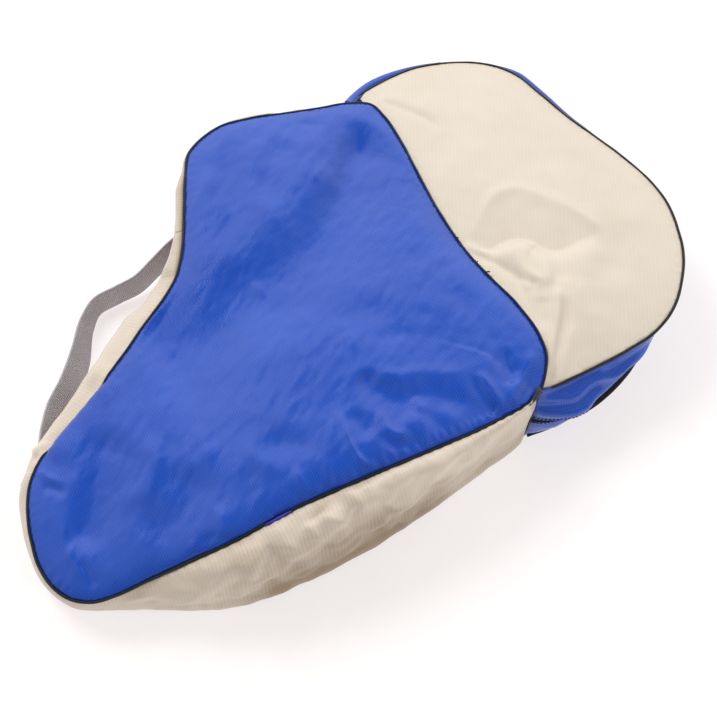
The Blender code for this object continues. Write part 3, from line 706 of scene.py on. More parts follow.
def cloth(name, light, mid, dark, rib, angle, rib_share, rough, spec, sheen=0.0, second=0.0):
    """Coated plain-weave cloth: thick ribs at one pitch, a finer weave under them, mottling, and a darker tone along
    the seams, which on the sole gusset also carries painted shade.
    """
    s = Shader(name)
    uv = s.uv(angle)
    u, v, _ = s.split(uv)
    drift = s.math("MULTIPLY", s.noise(uv, 60.0, 2.0), 3.0)
    rib1 = s.wave(u, rib, drift)
    rib2 = s.wave(v, rib * 1.06, drift)
    fine = s.math("MULTIPLY", s.wave(u, 0.00095), s.wave(v, 0.00095))
    patch = s.noise(uv, 95.0, 2.0, 0.6)          # ribs show in patches, as the thread lies
    ribs = s.math("ADD", s.math("MULTIPLY", rib1, patch), s.math("MULTIPLY", s.math("MULTIPLY", rib2, second),
                                                                 s.math("SUBTRACT", 1.0, patch)))
    broad = s.noise(uv, 13.0, 3.0, 0.55)
    speck = s.noise(uv, 900.0, 2.0, 0.7)
    tone = s.math("ADD", s.math("MULTIPLY", ribs, rib_share), s.math("MULTIPLY", broad, 0.55))
    tone = s.math("ADD", tone, s.math("MULTIPLY", speck, 0.22))
    tone = s.math("ADD", tone, s.math("MULTIPLY", fine, 0.05))
    # The attribute read here darkens the tone along the seams, and on the sole gusset it also carries painted shade.
    seam = s.attribute("seam")
    tone = s.math("SUBTRACT", tone, s.math("MULTIPLY", seam, 0.25))
    lower = s.mix(s.span(tone, -0.05, 0.40), dark, mid)
    colour = s.mix(s.span(tone, 0.40, 0.95), lower, light)
    height = s.math("ADD", s.math("MULTIPLY", ribs, 0.36 * min(1.0, rib_share / 0.14)), s.math("MULTIPLY", fine, 0.08))
    height = s.math("ADD", height, s.math("MULTIPLY", speck, 0.12))
    first = s.bump(s.noise(uv, 120.0, 3.0, 0.6), 0.0009, 0.12)
    normal = s.bump(height, 0.00020, 0.7, first)
    s.set(Base_Color=colour, Normal=normal,
          Roughness=s.math("ADD", rough, s.math("MULTIPLY", broad, 0.12)))
    s.bsdf.inputs["Specular IOR Level"].default_value = spec
    s.bsdf.inputs["Sheen Weight"].default_value = sheen
    s.bsdf.inputs["Sheen Roughness"].default_value = 0.4
    return s.mat


BLUE = cloth("blue_oxford_cloth", srgb(45, 93, 196), srgb(32, 77, 179), srgb(24, 63, 159),
             0.0019, 0.0, 0.42, 0.19, 0.44, 0.0, 0.6)
BEIGE = cloth("beige_oxford_cloth", srgb(223, 213, 199), srgb(216, 205, 190), srgb(207, 195, 178),
              0.0031, 0.454, 0.14, 0.33, 0.34, 0.0, 0.15)
# The gusset's darkest colour, far darker than the beige's, is what the painted shade on the lower sole darkens the
# cloth towards; the mottling and the seams reach it too.
GUSSET = cloth("beige_gusset_cloth", srgb(219, 208, 195), srgb(210, 197, 181), srgb(150, 131, 108),
               0.0030, 0.0, 0.06, 0.31, 0.36, 0.0, 0.2)
LINING = cloth("grey_lining", srgb(78, 80, 88), srgb(62, 64, 72), srgb(48, 50, 57),
               0.0011, 0.3, 0.25, 0.6, 0.3, 0.1, 0.9)


def piping_material(name):
    s = Shader(name)
    uv = s.uv()
    u, v, _ = s.split(uv)
    twill = s.math("SINE", s.math("ADD", s.math("MULTIPLY", u, 2 * math.pi / 0.0011),
                                  s.math("MULTIPLY", v, 2 * math.pi / 0.0021)))
    spot = s.noise(uv, 220.0, 3.0, 0.6)
    tone = s.math("ADD", s.math("MULTIPLY", twill, 0.25), spot)
    s.set(Base_Color=s.mix(s.span(tone, 0.2, 0.95), srgb(3, 3, 6), srgb(14, 15, 22)),
          Normal=s.bump(s.math("ADD", twill, s.math("MULTIPLY", spot, 0.6)), 0.00014, 0.6),
          Roughness=s.span(spot, 0.2, 0.8, 0.26, 0.40))
    s.bsdf.inputs["Specular IOR Level"].default_value = 0.5
    return s.mat


def tape_material(name):
    s = Shader(name)
    uv = s.uv()
    u, v, _ = s.split(uv)
    chev = s.math("SINE", s.math("ADD", s.math("MULTIPLY", u, 2 * math.pi / 0.0012),
                                 s.math("MULTIPLY", s.math("ABSOLUTE", v), 2 * math.pi / 0.0016)))
    specks = s.noise(uv, 420.0, 3.0, 0.65)
    s.set(Base_Color=s.mix(s.span(s.math("ADD", s.math("MULTIPLY", chev, 0.2), specks), 0.2, 1.0),
                           srgb(3, 3, 4), srgb(13, 13, 15)),
          Normal=s.bump(s.math("ADD", chev, specks), 0.00015, 0.7),
          Roughness=s.span(specks, 0.3, 0.7, 0.72, 0.88))
    s.bsdf.inputs["Specular IOR Level"].default_value = 0.15
    return s.mat


def plastic_material(name, dark, light, rough):
    s = Shader(name)
    co = s.node("ShaderNodeTexCoord").outputs["Object"]
    spot = s.noise(co, 700.0, 3.0, 0.6)
    s.set(Base_Color=s.mix(s.span(spot, 0.3, 0.75), dark, light),
          Normal=s.bump(spot, 0.00006, 0.5),
          Roughness=s.span(spot, 0.3, 0.7, rough, rough + 0.14))
    return s.mat


def metal_material(name):
    s = Shader(name)
    co = s.node("ShaderNodeTexCoord").outputs["Object"]
    stretch = s.node("ShaderNodeMapping")
    stretch.inputs["Scale"].default_value = (1.0, 1.0, 9.0)
    s.put(stretch.inputs["Vector"], co)
    scratch = s.noise(stretch.outputs[0], 900.0, 4.0, 0.7)
    worn = s.noise(co, 260.0, 3.0, 0.6)
    s.set(Base_Color=s.mix(s.span(worn, 0.35, 0.75), srgb(92, 92, 96), srgb(150, 149, 150)),
          Normal=s.bump(scratch, 0.00004, 0.5),
          Roughness=s.span(scratch, 0.3, 0.75, 0.22, 0.42))
    s.bsdf.inputs["Metallic"].default_value = 1.0
    return s.mat


def webbing_material(name):
    """Plain-woven webbing: fine ribs across, columns of warp along."""
    s = Shader(name)
    uv = s.uv()
    u, v, _ = s.split(uv)
    across = s.wave(u, 0.0017, s.math("MULTIPLY", s.noise(uv, 300.0, 2.0), 2.0))
    columns = s.wave(v, 0.0021)
    check = s.math("MULTIPLY", across, columns)
    fuzz = s.noise(uv, 800.0, 3.0, 0.7)
    broad = s.noise(uv, 40.0, 2.0)
    tone = s.math("ADD", s.math("ADD", s.math("MULTIPLY", across, 0.20), s.math("MULTIPLY", check, 0.16)),
                  s.math("ADD", s.math("MULTIPLY", fuzz, 0.6), s.math("MULTIPLY", broad, 0.35)))
    s.set(Base_Color=s.mix(s.span(tone, 0.05, 0.95), srgb(142, 139, 147), srgb(214, 210, 218)),
          Normal=s.bump(s.math("ADD", s.math("ADD", across, s.math("MULTIPLY", check, 0.7)), fuzz), 0.0003, 0.8),
          Roughness=s.span(fuzz, 0.3, 0.7, 0.72, 0.9))
    s.bsdf.inputs["Sheen Weight"].default_value = 0.15
    return s.mat


def thread_material(name, dark, light):
    s = Shader(name)
    co = s.node("ShaderNodeTexCoord").outputs["Object"]
    ply = s.noise(co, 1600.0, 2.0, 0.6)
    s.set(Base_Color=s.mix(s.span(ply, 0.3, 0.7), dark, light), Normal=s.bump(ply, 0.00008, 0.6),
          Roughness=s.span(ply, 0.3, 0.7, 0.5, 0.7))
    return s.mat


PIPING = piping_material("black_cord_piping")
TAPE = tape_material("black_zip_tape")
COIL = plastic_material("black_zip_coil", srgb(14, 14, 17), srgb(40, 40, 46), 0.34)
METAL = metal_material("worn_zip_metal")
WEBBING = webbing_material("grey_handle_webbing")
THREAD_DARK = thread_material("dark_thread", srgb(18, 20, 34), srgb(44, 48, 72))
THREAD_GREY = thread_material("grey_thread", srgb(96, 94, 97), srgb(140, 137, 140))
THREAD_BEIGE = thread_material("beige_thread", srgb(188, 174, 150), srgb(222, 209, 186))

DECLARED = []


def declare_sheet(obj, flat, area):
    DECLARED.append((obj.name, flat, area))


def mesh_area(v, f):
    v = np.asarray(v)
    total = 0.0
    for q in f:
        for k in range(1, len(q) - 1):
            total += 0.5 * np.linalg.norm(np.cross(v[q[k]] - v[q[0]], v[q[k + 1]] - v[q[0]]))
    return total


# ------------------------------------------------------------------ piping lines
# Along the lower instep the blue edge rolls over the piping and hides it.
def tuck(t):
    tm = np.mod(t, N_BOOT)
    return smooth01(26.8, 27.6, tm) * (1 - smooth01(29.0, 29.9, tm))


def boot_pipe(t):
    t = np.asarray(t, float)
    k = tuck(t)[..., None]
    return boot_upper(t) - outward(boot_upper, t) * 2.6 * k - np.array([0, 0, 3.2]) * k


edge_t = evenly(boot_upper, 0, N_BOOT, 2.2)[:-1]
edge = boot_pipe(edge_t)
edge_out = outward(boot_upper, edge_t)

boot_piping = piping("boot_piping_upper", edge, PIPE_BOOT, PIPING, True, 3)
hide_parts("skate_upper_piping", "mouth_piping")
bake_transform(boot_piping)

low_t = evenly(boot_lower, 0, N_BOOT, 3.0)[:-1]
boot_piping_low = piping("boot_piping_lower", boot_lower(low_t), PIPE_BOOT, PIPING, True, 5)
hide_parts("skate_lower_piping")
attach(boot_piping_low, "bag")

# ------------------------------------------------------------------ boot face
STEP = 2.1
border = edge - edge_out * 0.9 + np.array([0, 0, 0.5])
flat_v, flat_f = triangulate(border[:, :2], STEP)
n_edge = len(border)
d_edge, k_edge = to_edge(border[:, :2], flat_v)
held = np.zeros(len(flat_v), bool)
held[:n_edge] = True
z_held = np.zeros(len(flat_v))
z_held[:n_edge] = border[:, 2]
height, swell = inflate(flat_v, flat_f, held, z_held, BOOT_CROWN)
face = np.concatenate([flat_v, height[:, None]], 1)
px = seen_at(face)
s_edge = arc(edge)[k_edge]

BOOT_FOLDS = [
    # the long hollow from the collar's back corner across the ankle to the instep; steep on its upper left
    ([(138, 366), (184, 346), (224, 322), (242, 300), (264, 282), (292, 261), (314, 239), (335, 215), (348, 190), (353, 165), (362, 142), (374, 122)],
     -13.5, [70, 74, 74, 66, 62, 62, 62, 60, 52, 44, 34, 22], "lean", (0.12, 0.08)),
    ([(300, 205), (322, 180), (333, 164), (338, 145), (346, 130)], 1.5, 9, "soft", (0.4, 0.4)),
    ([(318, 222), (330, 200), (340, 176)], -1.2, 8, "soft", (0.4, 0.4)),
    # shaft
    ([(262, 207), (265, 180), (275, 156), (285, 135)], -3.4, 20, "lean", (0.35, 0.2)),
    ([(205, 260), (222, 233), (236, 206), (228, 176), (224, 150), (221, 133)], -3.0, 24, "lean", (0.3, 0.25)),
    ([(250, 212), (255, 190), (252, 178)], 1.0, 5, "soft", (0.4, 0.4)),
    ([(196, 225), (206, 190), (217, 152), (218, 136)], 1.4, 9, "soft", (0.4, 0.3)),
    ([(290, 123), (308, 124), (330, 125)], -0.9, 3.4, "sharp", (0.4, 0.4)),
    ([(296, 160), (316, 168), (330, 160)], 1.2, 14, "soft", (0.4, 0.4)),
    # middle of the foot
    ([(252, 272), (258, 282), (263, 292)], 1.2, 4.5, "soft", (0.4, 0.4)),
    ([(296, 300), (302, 312), (306, 326)], 0.8, 4.5, "soft", (0.4, 0.4)),
    ([(398, 252), (416, 257), (436, 262)], -1.3, 9, "soft", (0.4, 0.4)),
    ([(326, 322), (362, 311), (404, 318)], -1.6, 13, "soft", (0.4, 0.4)),
    ([(342, 330), (350, 342), (346, 352)], 1.2, 9, "soft", (0.4, 0.4)),
    ([(372, 330), (392, 334), (418, 332)], -1.0, 8, "soft", (0.4, 0.4)),
    ([(225, 322), (262, 352), (300, 372)], 3.2, 28, "soft", (0.4, 0.5)),
    # crossing crease above the sole, steep above
    ([(361, 369), (374, 386), (387, 397), (400, 402), (413, 396), (432, 396), (450, 401), (468, 406), (490, 411), (505, 415)],
     -4.4, [8, 17, 25, 26, 18, 22, 26, 26, 16, 8], "lean", (0.08, 0.06)),
    ([(370, 375), (396, 377), (424, 373), (452, 373), (470, 371)], 1.4, 7, "soft", (0.2, 0.3)),
    ([(410, 398), (418, 403), (424, 412)], 1.3, 4.5, "sharp", (0.3, 0.4)),
    ([(476, 372), (487, 386), (496, 400), (504, 413)], 2.4, 4.5, "soft", (0.3, 0.1)),
    ([(470, 377), (482, 396), (498, 411)], -1.8, 6, "soft", (0.3, 0.1)),
    ([(503, 348), (509, 368), (513, 387)], -2.6, 8, "lean", (0.3, 0.15)),
    ([(511, 409), (515, 392), (523, 377), (538, 350)], 2.4, 6, "soft", (0.1, 0.3)),
    ([(519, 406), (527, 392), (537, 376)], -1.8, 6, "soft", (0.1, 0.4)),
    ([(337, 408), (344, 427), (351, 447), (360, 461), (374, 470)], 2.2, 4.5, "lean", (0.3, 0.1)),
    ([(350, 408), (362, 426), (373, 442)], -2.6, 11, "soft", (0.35, 0.35)),
    ([(374, 404), (381, 418), (389, 432), (398, 437), (412, 435)], 2.0, 5.5, "soft", (0.3, 0.2)),
    ([(382, 430), (394, 446), (410, 446), (425, 437)], -2.4, 8, "soft", (0.3, 0.2)),
    ([(400, 414), (410, 420), (420, 412)], 1.4, 10, "soft", (0.4, 0.4)),
    ([(424, 408), (436, 424), (446, 438)], -1.5, 8, "soft", (0.3, 0.4)),
    ([(440, 404), (456, 420), (466, 432)], 1.1, 7, "soft", (0.3, 0.4)),
    ([(292, 466), (302, 486), (312, 498)], 1.5, 5, "soft", (0.4, 0.1)),
    ([(322, 458), (328, 474), (331, 489)], 1.0, 5, "soft", (0.5, 0.1)),
    ([(250, 436), (286, 446), (330, 448)], -2.2, 16, "soft", (0.4, 0.3)),
    ([(214, 500), (222, 522), (227, 540)], 2.0, 7, "soft", (0.5, 0.1)),
    ([(188, 540), (194, 549), (198, 556)], 1.6, 6, "soft", (0.5, 0.1)),
    ([(200, 545), (212, 540), (222, 538)], -1.8, 6, "soft", (0.3, 0.3)),
    # toe
    ([(67, 552), (84, 528), (93, 505), (98, 480), (105, 452), (118, 422)], -6.2, [14, 26, 32, 32, 28, 16], "lean", (0.2, 0.2)),
    ([(54, 470), (62, 440), (78, 424)], 1.4, 14, "soft", (0.4, 0.4)),
    ([(150, 424), (154, 450), (152, 475), (145, 490), (133, 500), (128, 516)], 2.8, 10, "soft", (0.35, 0.3)),
    ([(199, 461), (191, 490), (178, 516), (158, 533), (136, 541)], -5.0, 24, "soft", (0.25, 0.3)),
    ([(196, 420), (206, 448), (215, 472)], 1.6, 9, "soft", (0.4, 0.4)),
    ([(240, 440), (258, 462), (282, 478)], 1.4, 9, "soft", (0.4, 0.4)),
    ([(37, 469), (48, 479), (66, 486)], 1.6, 4.5, "soft", (0.2, 0.3)),
    ([(42, 485), (55, 489), (68, 494)], -1.8, 5.5, "soft", (0.2, 0.3)),
    ([(46, 520), (54, 545), (62, 566)], -1.0, 6, "soft", (0.4, 0.4)),
    ([(66, 548), (74, 564), (87, 583)], 1.5, 4.5, "soft", (0.3, 0.3)),
    ([(81, 559), (88, 574), (96, 589)], -1.6, 4.5, "soft", (0.3, 0.2)),
    ([(104, 560), (112, 575), (118, 590)], 1.0, 6, "soft", (0.5, 0.2)),
]
lift = np.zeros(len(face))
for q in BOOT_FOLDS:
    lift += fold(px, *q)
# broad unevenness of the stuffing, and small cross wrinkles
lift += 0.9 * fbm(flat_v / 46.0, 3, 11) * smooth01(2, 30, d_edge)
lift += 0.35 * fbm(np.stack([flat_v @ [0.8, 0.6], flat_v @ [-0.6, 0.8] * 2.4], -1) / 15.0, 2, 17) * smooth01(2, 18, d_edge)
lift *= smooth01(0.0, 9.0, d_edge) * 0.85 + 0.15 * smooth01(0, 3, d_edge)
# fuller just inside the piping, most along the sole
t_of = edge_t[k_edge]
rim_full = 1.2 + 3.4 * smooth01(37.0, 40.0, t_of) * (1 - smooth01(45.5, 46.8, t_of)) + 1.2 * smooth01(29, 32, t_of) * (1 - smooth01(36, 38, t_of))
lift += rim_full * (1 - np.exp(-d_edge / 6.0)) * np.exp(-((d_edge / 48.0) ** 2))
# gathers where the panel is sewn to the piping, strongest along the sole
gather = 0.30 + 0.75 * smooth01(39.0, 41.0, t_of) * (1 - smooth01(44.5, 46.0, t_of)) \
    + 0.35 * smooth01(30, 33, t_of) * (1 - smooth01(36, 38, t_of))
wave = np.sin(2 * math.pi * (s_edge / 8.5 + 0.9 * noise(np.stack([s_edge / 26, s_edge * 0], -1), 5)))
wave *= 0.55 + 0.45 * noise(np.stack([s_edge / 21, s_edge * 0 + 4], -1), 6)
lift += gather * 0.75 * wave * np.exp(-((d_edge - 4.0) / 4.5) ** 2) * smooth01(0, 2.5, d_edge)
face[:, 2] += lift
# the rolled edge over the hidden piping
k = tuck(t_of)
roll = 6.2 * (1 - np.exp(-d_edge / 1.4)) * np.exp(-((d_edge / 10.0) ** 2)) * k
face[:, :2] += edge_out[k_edge][:, :2] * roll[:, None]
face[:, 2] += k * 2.2 * smooth01(0.5, 5, d_edge) * (1 - smooth01(8, 26, d_edge))
# the heel bulges over the pocket's seam
heel = smooth01(0.3, 1.5, t_of) * (1 - smooth01(5.2, 6.6, t_of)) * (t_of < 20)
face[:, 2] += heel * 2.0 * smooth01(0.5, 7, d_edge) * (1 - smooth01(10, 40, d_edge))

# darker tone within a few millimetres of the seams
seam_wear = np.exp(-d_edge / 4.0)
boot_face = mesh_object("boot_face_upper", place(face), flat_f, [BLUE, LINING], face[:, :2] * 0.001,
                        attributes={"seam": seam_wear})
solidify(boot_face, 1.2, -1.0, True)
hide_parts("skate_upper_panel", "mouth_flap_panel")
declare_sheet(boot_face, (0.40, 0.44), mesh_area(place(np.concatenate([flat_v, height[:, None]], 1)), flat_f))
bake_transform(boot_face)

# lower face, flat on the floor, its lining up
low_border = boot_lower(low_t) - outward(boot_upper, low_t) * 0.9
lv, lf = triangulate(low_border[:, :2], 7.0)
d_low, _ = to_edge(low_border[:, :2], lv)
lz = FLOOR_Z - 1.35 * smooth01(0, 16, d_low) + 0.25 * fbm(lv / 30.0, 2, 23) * smooth01(3, 20, d_low)
lz = np.maximum(lz, 0.35)
low = np.concatenate([lv, lz[:, None]], 1)
boot_low = mesh_object("boot_face_lower", place(low), lf[:, ::-1], [BLUE, LINING], low[:, :2] * 0.001,
                       attributes={"seam": np.exp(-d_low / 4.0)})
solidify(boot_low, 1.0, -1.0, True)
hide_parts("skate_lower_panel")
declare_sheet(boot_low, (0.40, 0.44), mesh_area(place(low), lf))
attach(boot_low, "bag")


# ------------------------------------------------------------------ boot gusset
def boot_side(t, n):
    """Whole height of the boot's gusset from the upper to the lower piping."""
    o = outward(boot_upper, t)
    top = boot_pipe(t) + o * 0.5 + np.array([0, 0, -0.7])
    low = boot_lower(t) + o * 0.5 + np.array([0, 0, 0.7])
    mid = boot_waist(t)
    s = np.linspace(0, 1, 30)
    tm = np.mod(t, N_BOOT)
    full = 0.55 + 0.95 * smooth01(38.5, 41.5, tm)
    p = np.concatenate([bend(top, mid, s[::-1], full), bend(low, mid, s[1:])], 1)
    # above the floor the sole's wall stands out over the lower piping
    under = 4.2 * smooth01(38.5, 40.5, tm) * (1 - smooth01(46.0, 46.9, tm))
    swell = np.sin(math.pi * np.clip((p[..., 2] - FLOOR_Z) / 24.0, 0, 1))
    p = p + o[:, None] * (under[:, None] * swell)[..., None]
    return even_rows(p, n)


def bulged(p, out, want, at, shape):
    """Grid moved out in plan so that its column number `at` stands `want` outside its top edge."""
    now = ((p[:, at] - p[:, 0]) * out).sum(1)
    amount = np.maximum(want - now, 0) * (want > 0)
    return p + out[:, None] * (amount[:, None] * shape[None] / shape[at])[..., None]


def cloth_grid(name, p, lift, materials, seam=None, flip=False, thick=1.2, uv_start=0.0):
    """Cloth through a grid of points (rows along the sewn edge, columns downwards), moved out by lift."""
    nrm = grid_normals(p)
    if flip:
        nrm = -nrm
    q = p + nrm * lift[..., None]
    r, c = p.shape[:2]
    along = np.concatenate([[0], np.cumsum(np.linalg.norm(np.diff(p.mean(1), axis=0), axis=1))]) + uv_start
    down = np.concatenate([np.zeros((r, 1)), np.cumsum(np.linalg.norm(np.diff(p, axis=1), axis=2), 1)], 1)
    uv = np.stack([np.repeat(along[:, None], c, 1), down], -1).reshape(-1, 2) * 0.001
    # By default the attribute darkens within a few millimetres of both edges; the sole gusset passes a mask that adds
    # painted shade.
    if seam is None:
        edge_d = np.minimum(down, down[:, -1:] - down)
        seam = np.exp(-edge_d / 4.0)
    faces = grid_faces(r, c, flip=flip)
    obj = mesh_object(name, place(q.reshape(-1, 3)), faces, materials, uv, attributes={"seam": seam.reshape(-1)})
    if thick:
        solidify(obj, thick, -1.0, True)
    area = mesh_area(place(p.reshape(-1, 3)), faces)
    return obj, q, along, down, area


def out_is_flip(p, centre):
    """True if the grid's own normals point inwards."""
    n = grid_normals(p)
    away = p - np.array([*centre, 0.0])
    away[..., 2] = 0
    return float((n * away).sum()) < 0


SOLE_FOLDS = [
    # crumples below the middle of the sole, in the view's pixels
    ([(340, 494), (357, 500), (370, 515)], 3.4, 5.0, "sharp", (0.3, 0.3)),
    ([(316, 514), (336, 519), (360, 521)], 3.8, 4.5, "sharp", (0.3, 0.3)),
    ([(352, 524), (342, 536), (328, 553)], 3.6, 5.0, "sharp", (0.25, 0.4)),
    ([(303, 520), (312, 530), (322, 541)], 3.2, 4.5, "sharp", (0.3, 0.3)),
    ([(330, 500), (318, 512), (304, 528)], -2.9, 6.0, "soft", (0.3, 0.4)),
    ([(362, 505), (352, 517), (346, 530)], -3.2, 5.0, "soft", (0.3, 0.4)),
    ([(372, 500), (388, 512), (398, 528)], -2.9, 6.0, "soft", (0.3, 0.4)),
    ([(280, 540), (296, 548), (314, 550)], 2.7, 5.0, "sharp", (0.3, 0.4)),
    ([(262, 548), (276, 560), (282, 576)], -2.9, 7.0, "soft", (0.3, 0.4)),
    ([(236, 562), (252, 575), (262, 592)], 2.7, 6.0, "soft", (0.3, 0.4)),
    ([(205, 575), (222, 585), (238, 596)], -2.5, 7.0, "soft", (0.4, 0.4)),
    ([(170, 588), (190, 592), (212, 596)], 2.3, 5.0, "soft", (0.4, 0.4)),
    ([(120, 600), (145, 596), (168, 590)], 1.6, 4.0, "soft", (0.4, 0.4)),
    ([(130, 604), (160, 603), (190, 606)], -1.4, 4.0, "soft", (0.4, 0.4)),
    # pulls towards the heel
    ([(540, 396), (505, 425), (470, 455), (436, 490)], 2.7, 5.0, "soft", (0.15, 0.4)),
    ([(538, 399), (512, 428), (486, 455), (462, 480)], -2.3, 5.0, "soft", (0.2, 0.4)),
    ([(536, 402), (516, 428), (500, 446)], 2.2, 4.5, "soft", (0.25, 0.35)),
    ([(520, 408), (480, 437), (440, 462), (404, 484)], 2.0, 4.5, "soft", (0.3, 0.4)),
    ([(500, 420), (455, 450), (418, 478)], -2.0, 5.0, "soft", (0.3, 0.4)),
    ([(470, 440), (440, 470), (420, 496)], 1.8, 5.0, "soft", (0.3, 0.5)),
    ([(420, 480), (398, 505), (372, 535)], 2.3, 7.0, "soft", (0.3, 0.5)),
    ([(440, 478), (425, 500), (404, 522)], -2.2, 6.0, "soft", (0.3, 0.5)),
    # fold at the strap's lower end
    ([(50, 444), (40, 450), (31, 456)], 2.4, 4.0, "soft", (0.3, 0.3)),
    ([(52, 450), (42, 456), (32, 462)], -2.2, 4.0, "soft", (0.3, 0.3)),
]

g_t = evenly(boot_upper, MOUTH_FRONT + 0.05, N_BOOT, 2.1)
G_COLS = 54
g_p = boot_side(g_t, G_COLS)
# its end beside the mouth is rolled outwards like the strip above the zip
g_p = bulged(g_p, outward(boot_upper, g_t), np.interp(g_t, [MOUTH_FRONT, 22.7, 23.5], [8.4, 9.5, 0.0]), 4,
             np.sin(math.pi * np.clip(np.arange(G_COLS) / 15.5, 0, 1) ** 0.53))
flip_g = out_is_flip(g_p, (-100, 0))
down = np.concatenate([np.zeros((len(g_t), 1)), np.cumsum(np.linalg.norm(np.diff(g_p, axis=1), axis=2), 1)], 1)
total = down[:, -1:]
edge_d = np.minimum(down, total - down)
px_g = seen_at(g_p).reshape(-1, 2)
g_lift = np.zeros(g_p.shape[:2])
for q in SOLE_FOLDS:
    part = fold(px_g, *q).reshape(g_lift.shape)
    near = smooth01(28.4, 29.0, g_t)[:, None] if q[0][0][0] < 60 else smooth01(37.0, 38.5, g_t)[:, None]
    g_lift += part * near
along_g = np.concatenate([[0], np.cumsum(np.linalg.norm(np.diff(g_p.mean(1), axis=0), axis=1))])
uvw = np.stack([np.repeat(along_g[:, None], G_COLS, 1), down], -1)
g_lift += 1.2 * fbm(np.stack([uvw[..., 0] + 0.6 * uvw[..., 1], uvw[..., 1] * 1.3 - 0.3 * uvw[..., 0]], -1) / 42.0, 3, 41)
ridged = 1 - np.abs(fbm(np.stack([uvw[..., 0] + 0.8 * uvw[..., 1], uvw[..., 1] * 1.6 - 0.5 * uvw[..., 0]], -1) / 34.0, 2, 47))
crumple = 0.35 + 0.65 * smooth01(38.0, 40.5, g_t)
g_lift += 1.3 * (ridged - 0.6) * crumple[:, None]
crushed = smooth01(39.5, 40.8, g_t) * (1 - 0.7 * smooth01(43.2, 44.4, g_t))
g_lift += crushed[:, None] * creases(uvw, [(44, 62, 2.8), (31, -28, 2.2), (19, 18, 0.9)], 211)
g_lift *= 0.15 + 0.85 * smooth01(6, 34, g_p[..., 2])
g_lift *= smooth01(0, 11, edge_d) * 0.9 + 0.1 * smooth01(0, 4, edge_d)
# gathers below the piping
g_lift += (0.5 * np.sin(2 * math.pi * (uvw[..., 0] / 9.0 + 0.8 * noise(np.stack([uvw[..., 0] / 24, uvw[..., 0] * 0], -1), 8)))
           * np.exp(-((down - 4.0) / 5.0) ** 2) * smooth01(0, 2.5, down)) * crumple[:, None]
# Painted shade: along the middle of the sole the cloth's colour is darkened from about 16 mm below the piping
# downwards, and more towards the floor, where the sole lies in shade; it is darker along its seams as well.
shaded = smooth01(40.3, 41.7, g_t) * (1 - 0.6 * smooth01(43.6, 44.6, g_t))
painted_shade = 1.15 * smooth01(16, 54, down) + 0.8 * (1 - smooth01(20, 60, g_p[..., 2]))
seam_dark_and_painted_shade = np.clip(0.7 * np.exp(-edge_d / 4.0) + painted_shade * shaded[:, None], 0, 2.3)
boot_gusset, g_q, _, _, g_area = cloth_grid("boot_gusset_cloth", g_p, g_lift, [GUSSET, LINING], seam_dark_and_painted_shade, flip=flip_g)
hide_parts("sole_gusset", "instep_gusset")
declare_sheet(boot_gusset, (0.135, 1.06), g_area)
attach(boot_gusset, "bag")

# back wall, between the boot and the pocket
b_t = evenly(boot_upper, 0.02, 11.0, 6.0)
b_p = boot_side(b_t, 20)
flip_b = out_is_flip(b_p, (0, 40))
b_lift = 0.8 * fbm(b_p[..., 1:] / 40.0, 2, 53) * smooth01(0, 6, np.arange(20))[None] * smooth01(0, 6, np.arange(19, -1, -1))[None]
back_wall, _, _, _, b_area = cloth_grid("boot_back_wall", b_p, b_lift, [GUSSET, LINING], flip=flip_b)
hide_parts("back_wall")
declare_sheet(back_wall, (0.12, 0.36), b_area)
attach(back_wall, "bag")

# short length of gusset behind the end of the mouth zip
c_t = evenly(boot_upper, 11.0, MOUTH_BACK, 3.0)
c_p = boot_side(c_t, 30)
flip_c = out_is_flip(c_p, (0, 150))
c_lift = 0.5 * fbm(c_p[..., [0, 2]] / 22.0, 2, 59) * np.sin(np.linspace(0, math.pi, 30))[None]
collar_end, _, _, _, c_area = cloth_grid("boot_collar_end", c_p, c_lift, [GUSSET, LINING], flip=flip_c)
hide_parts("collar_gusset_end")
declare_sheet(collar_end, (0.05, 0.12), min(c_area, 0.006))
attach(collar_end, "bag")

# ------------------------------------------------------------------ mouth
m_t = evenly(boot_upper, MOUTH_BACK, MOUTH_FRONT + 0.05, 2.8)
m_p = boot_side(m_t, 60)
m_up = rows_between(m_p, 999, MOUTH_Z + RIM, 16)
m_low = rows_between(m_p, MOUTH_Z - RIM, 0.0, 18)
flip_m = out_is_flip(m_up, MOUTH_C)
col = np.linspace(0, 1, 16)
ang_m = angle_about(MOUTH_C, m_up[:, 0])
ang_m = np.where(ang_m < 0, ang_m + 360, ang_m)
# the strip above the zip rolls outwards, so it shows past the piping; flatter under the hang loop
want = np.interp(ang_m, [47, 55, 62, 69, 76, 88, 95, 102, 110, 126, 134, 140, 146, 158, 168, 174],
                 [0, 2.0, 4.8, 2.6, 5.4, 5.4, 4.4, 2.4, 1.6, 1.6, 2.6, 5.6, 8.0, 8.8, 8.6, 8.4])
want *= 1 + 0.10 * noise(np.stack([ang_m / 13, ang_m * 0], -1), 61)
m_up = bulged(m_up, outward(boot_upper, m_t), want, 4, np.sin(math.pi * col**0.53))
up_lift = np.zeros(m_up.shape[:2])
up_lift += 0.6 * fbm(np.stack(np.broadcast_arrays(ang_m[:, None] / 9.0, col[None] * 2.0), -1), 2, 63) * np.sin(math.pi * col)[None]
up_lift[:, -2:] += 0.6
mouth_up, mu_q, _, _, mu_area = cloth_grid("mouth_gusset_above_zip", m_up, up_lift, [GUSSET, LINING], flip=flip_m)
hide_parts("mouth_gusset_upper")
declare_sheet(mouth_up, (0.045, 0.32), mu_area)
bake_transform(mouth_up)

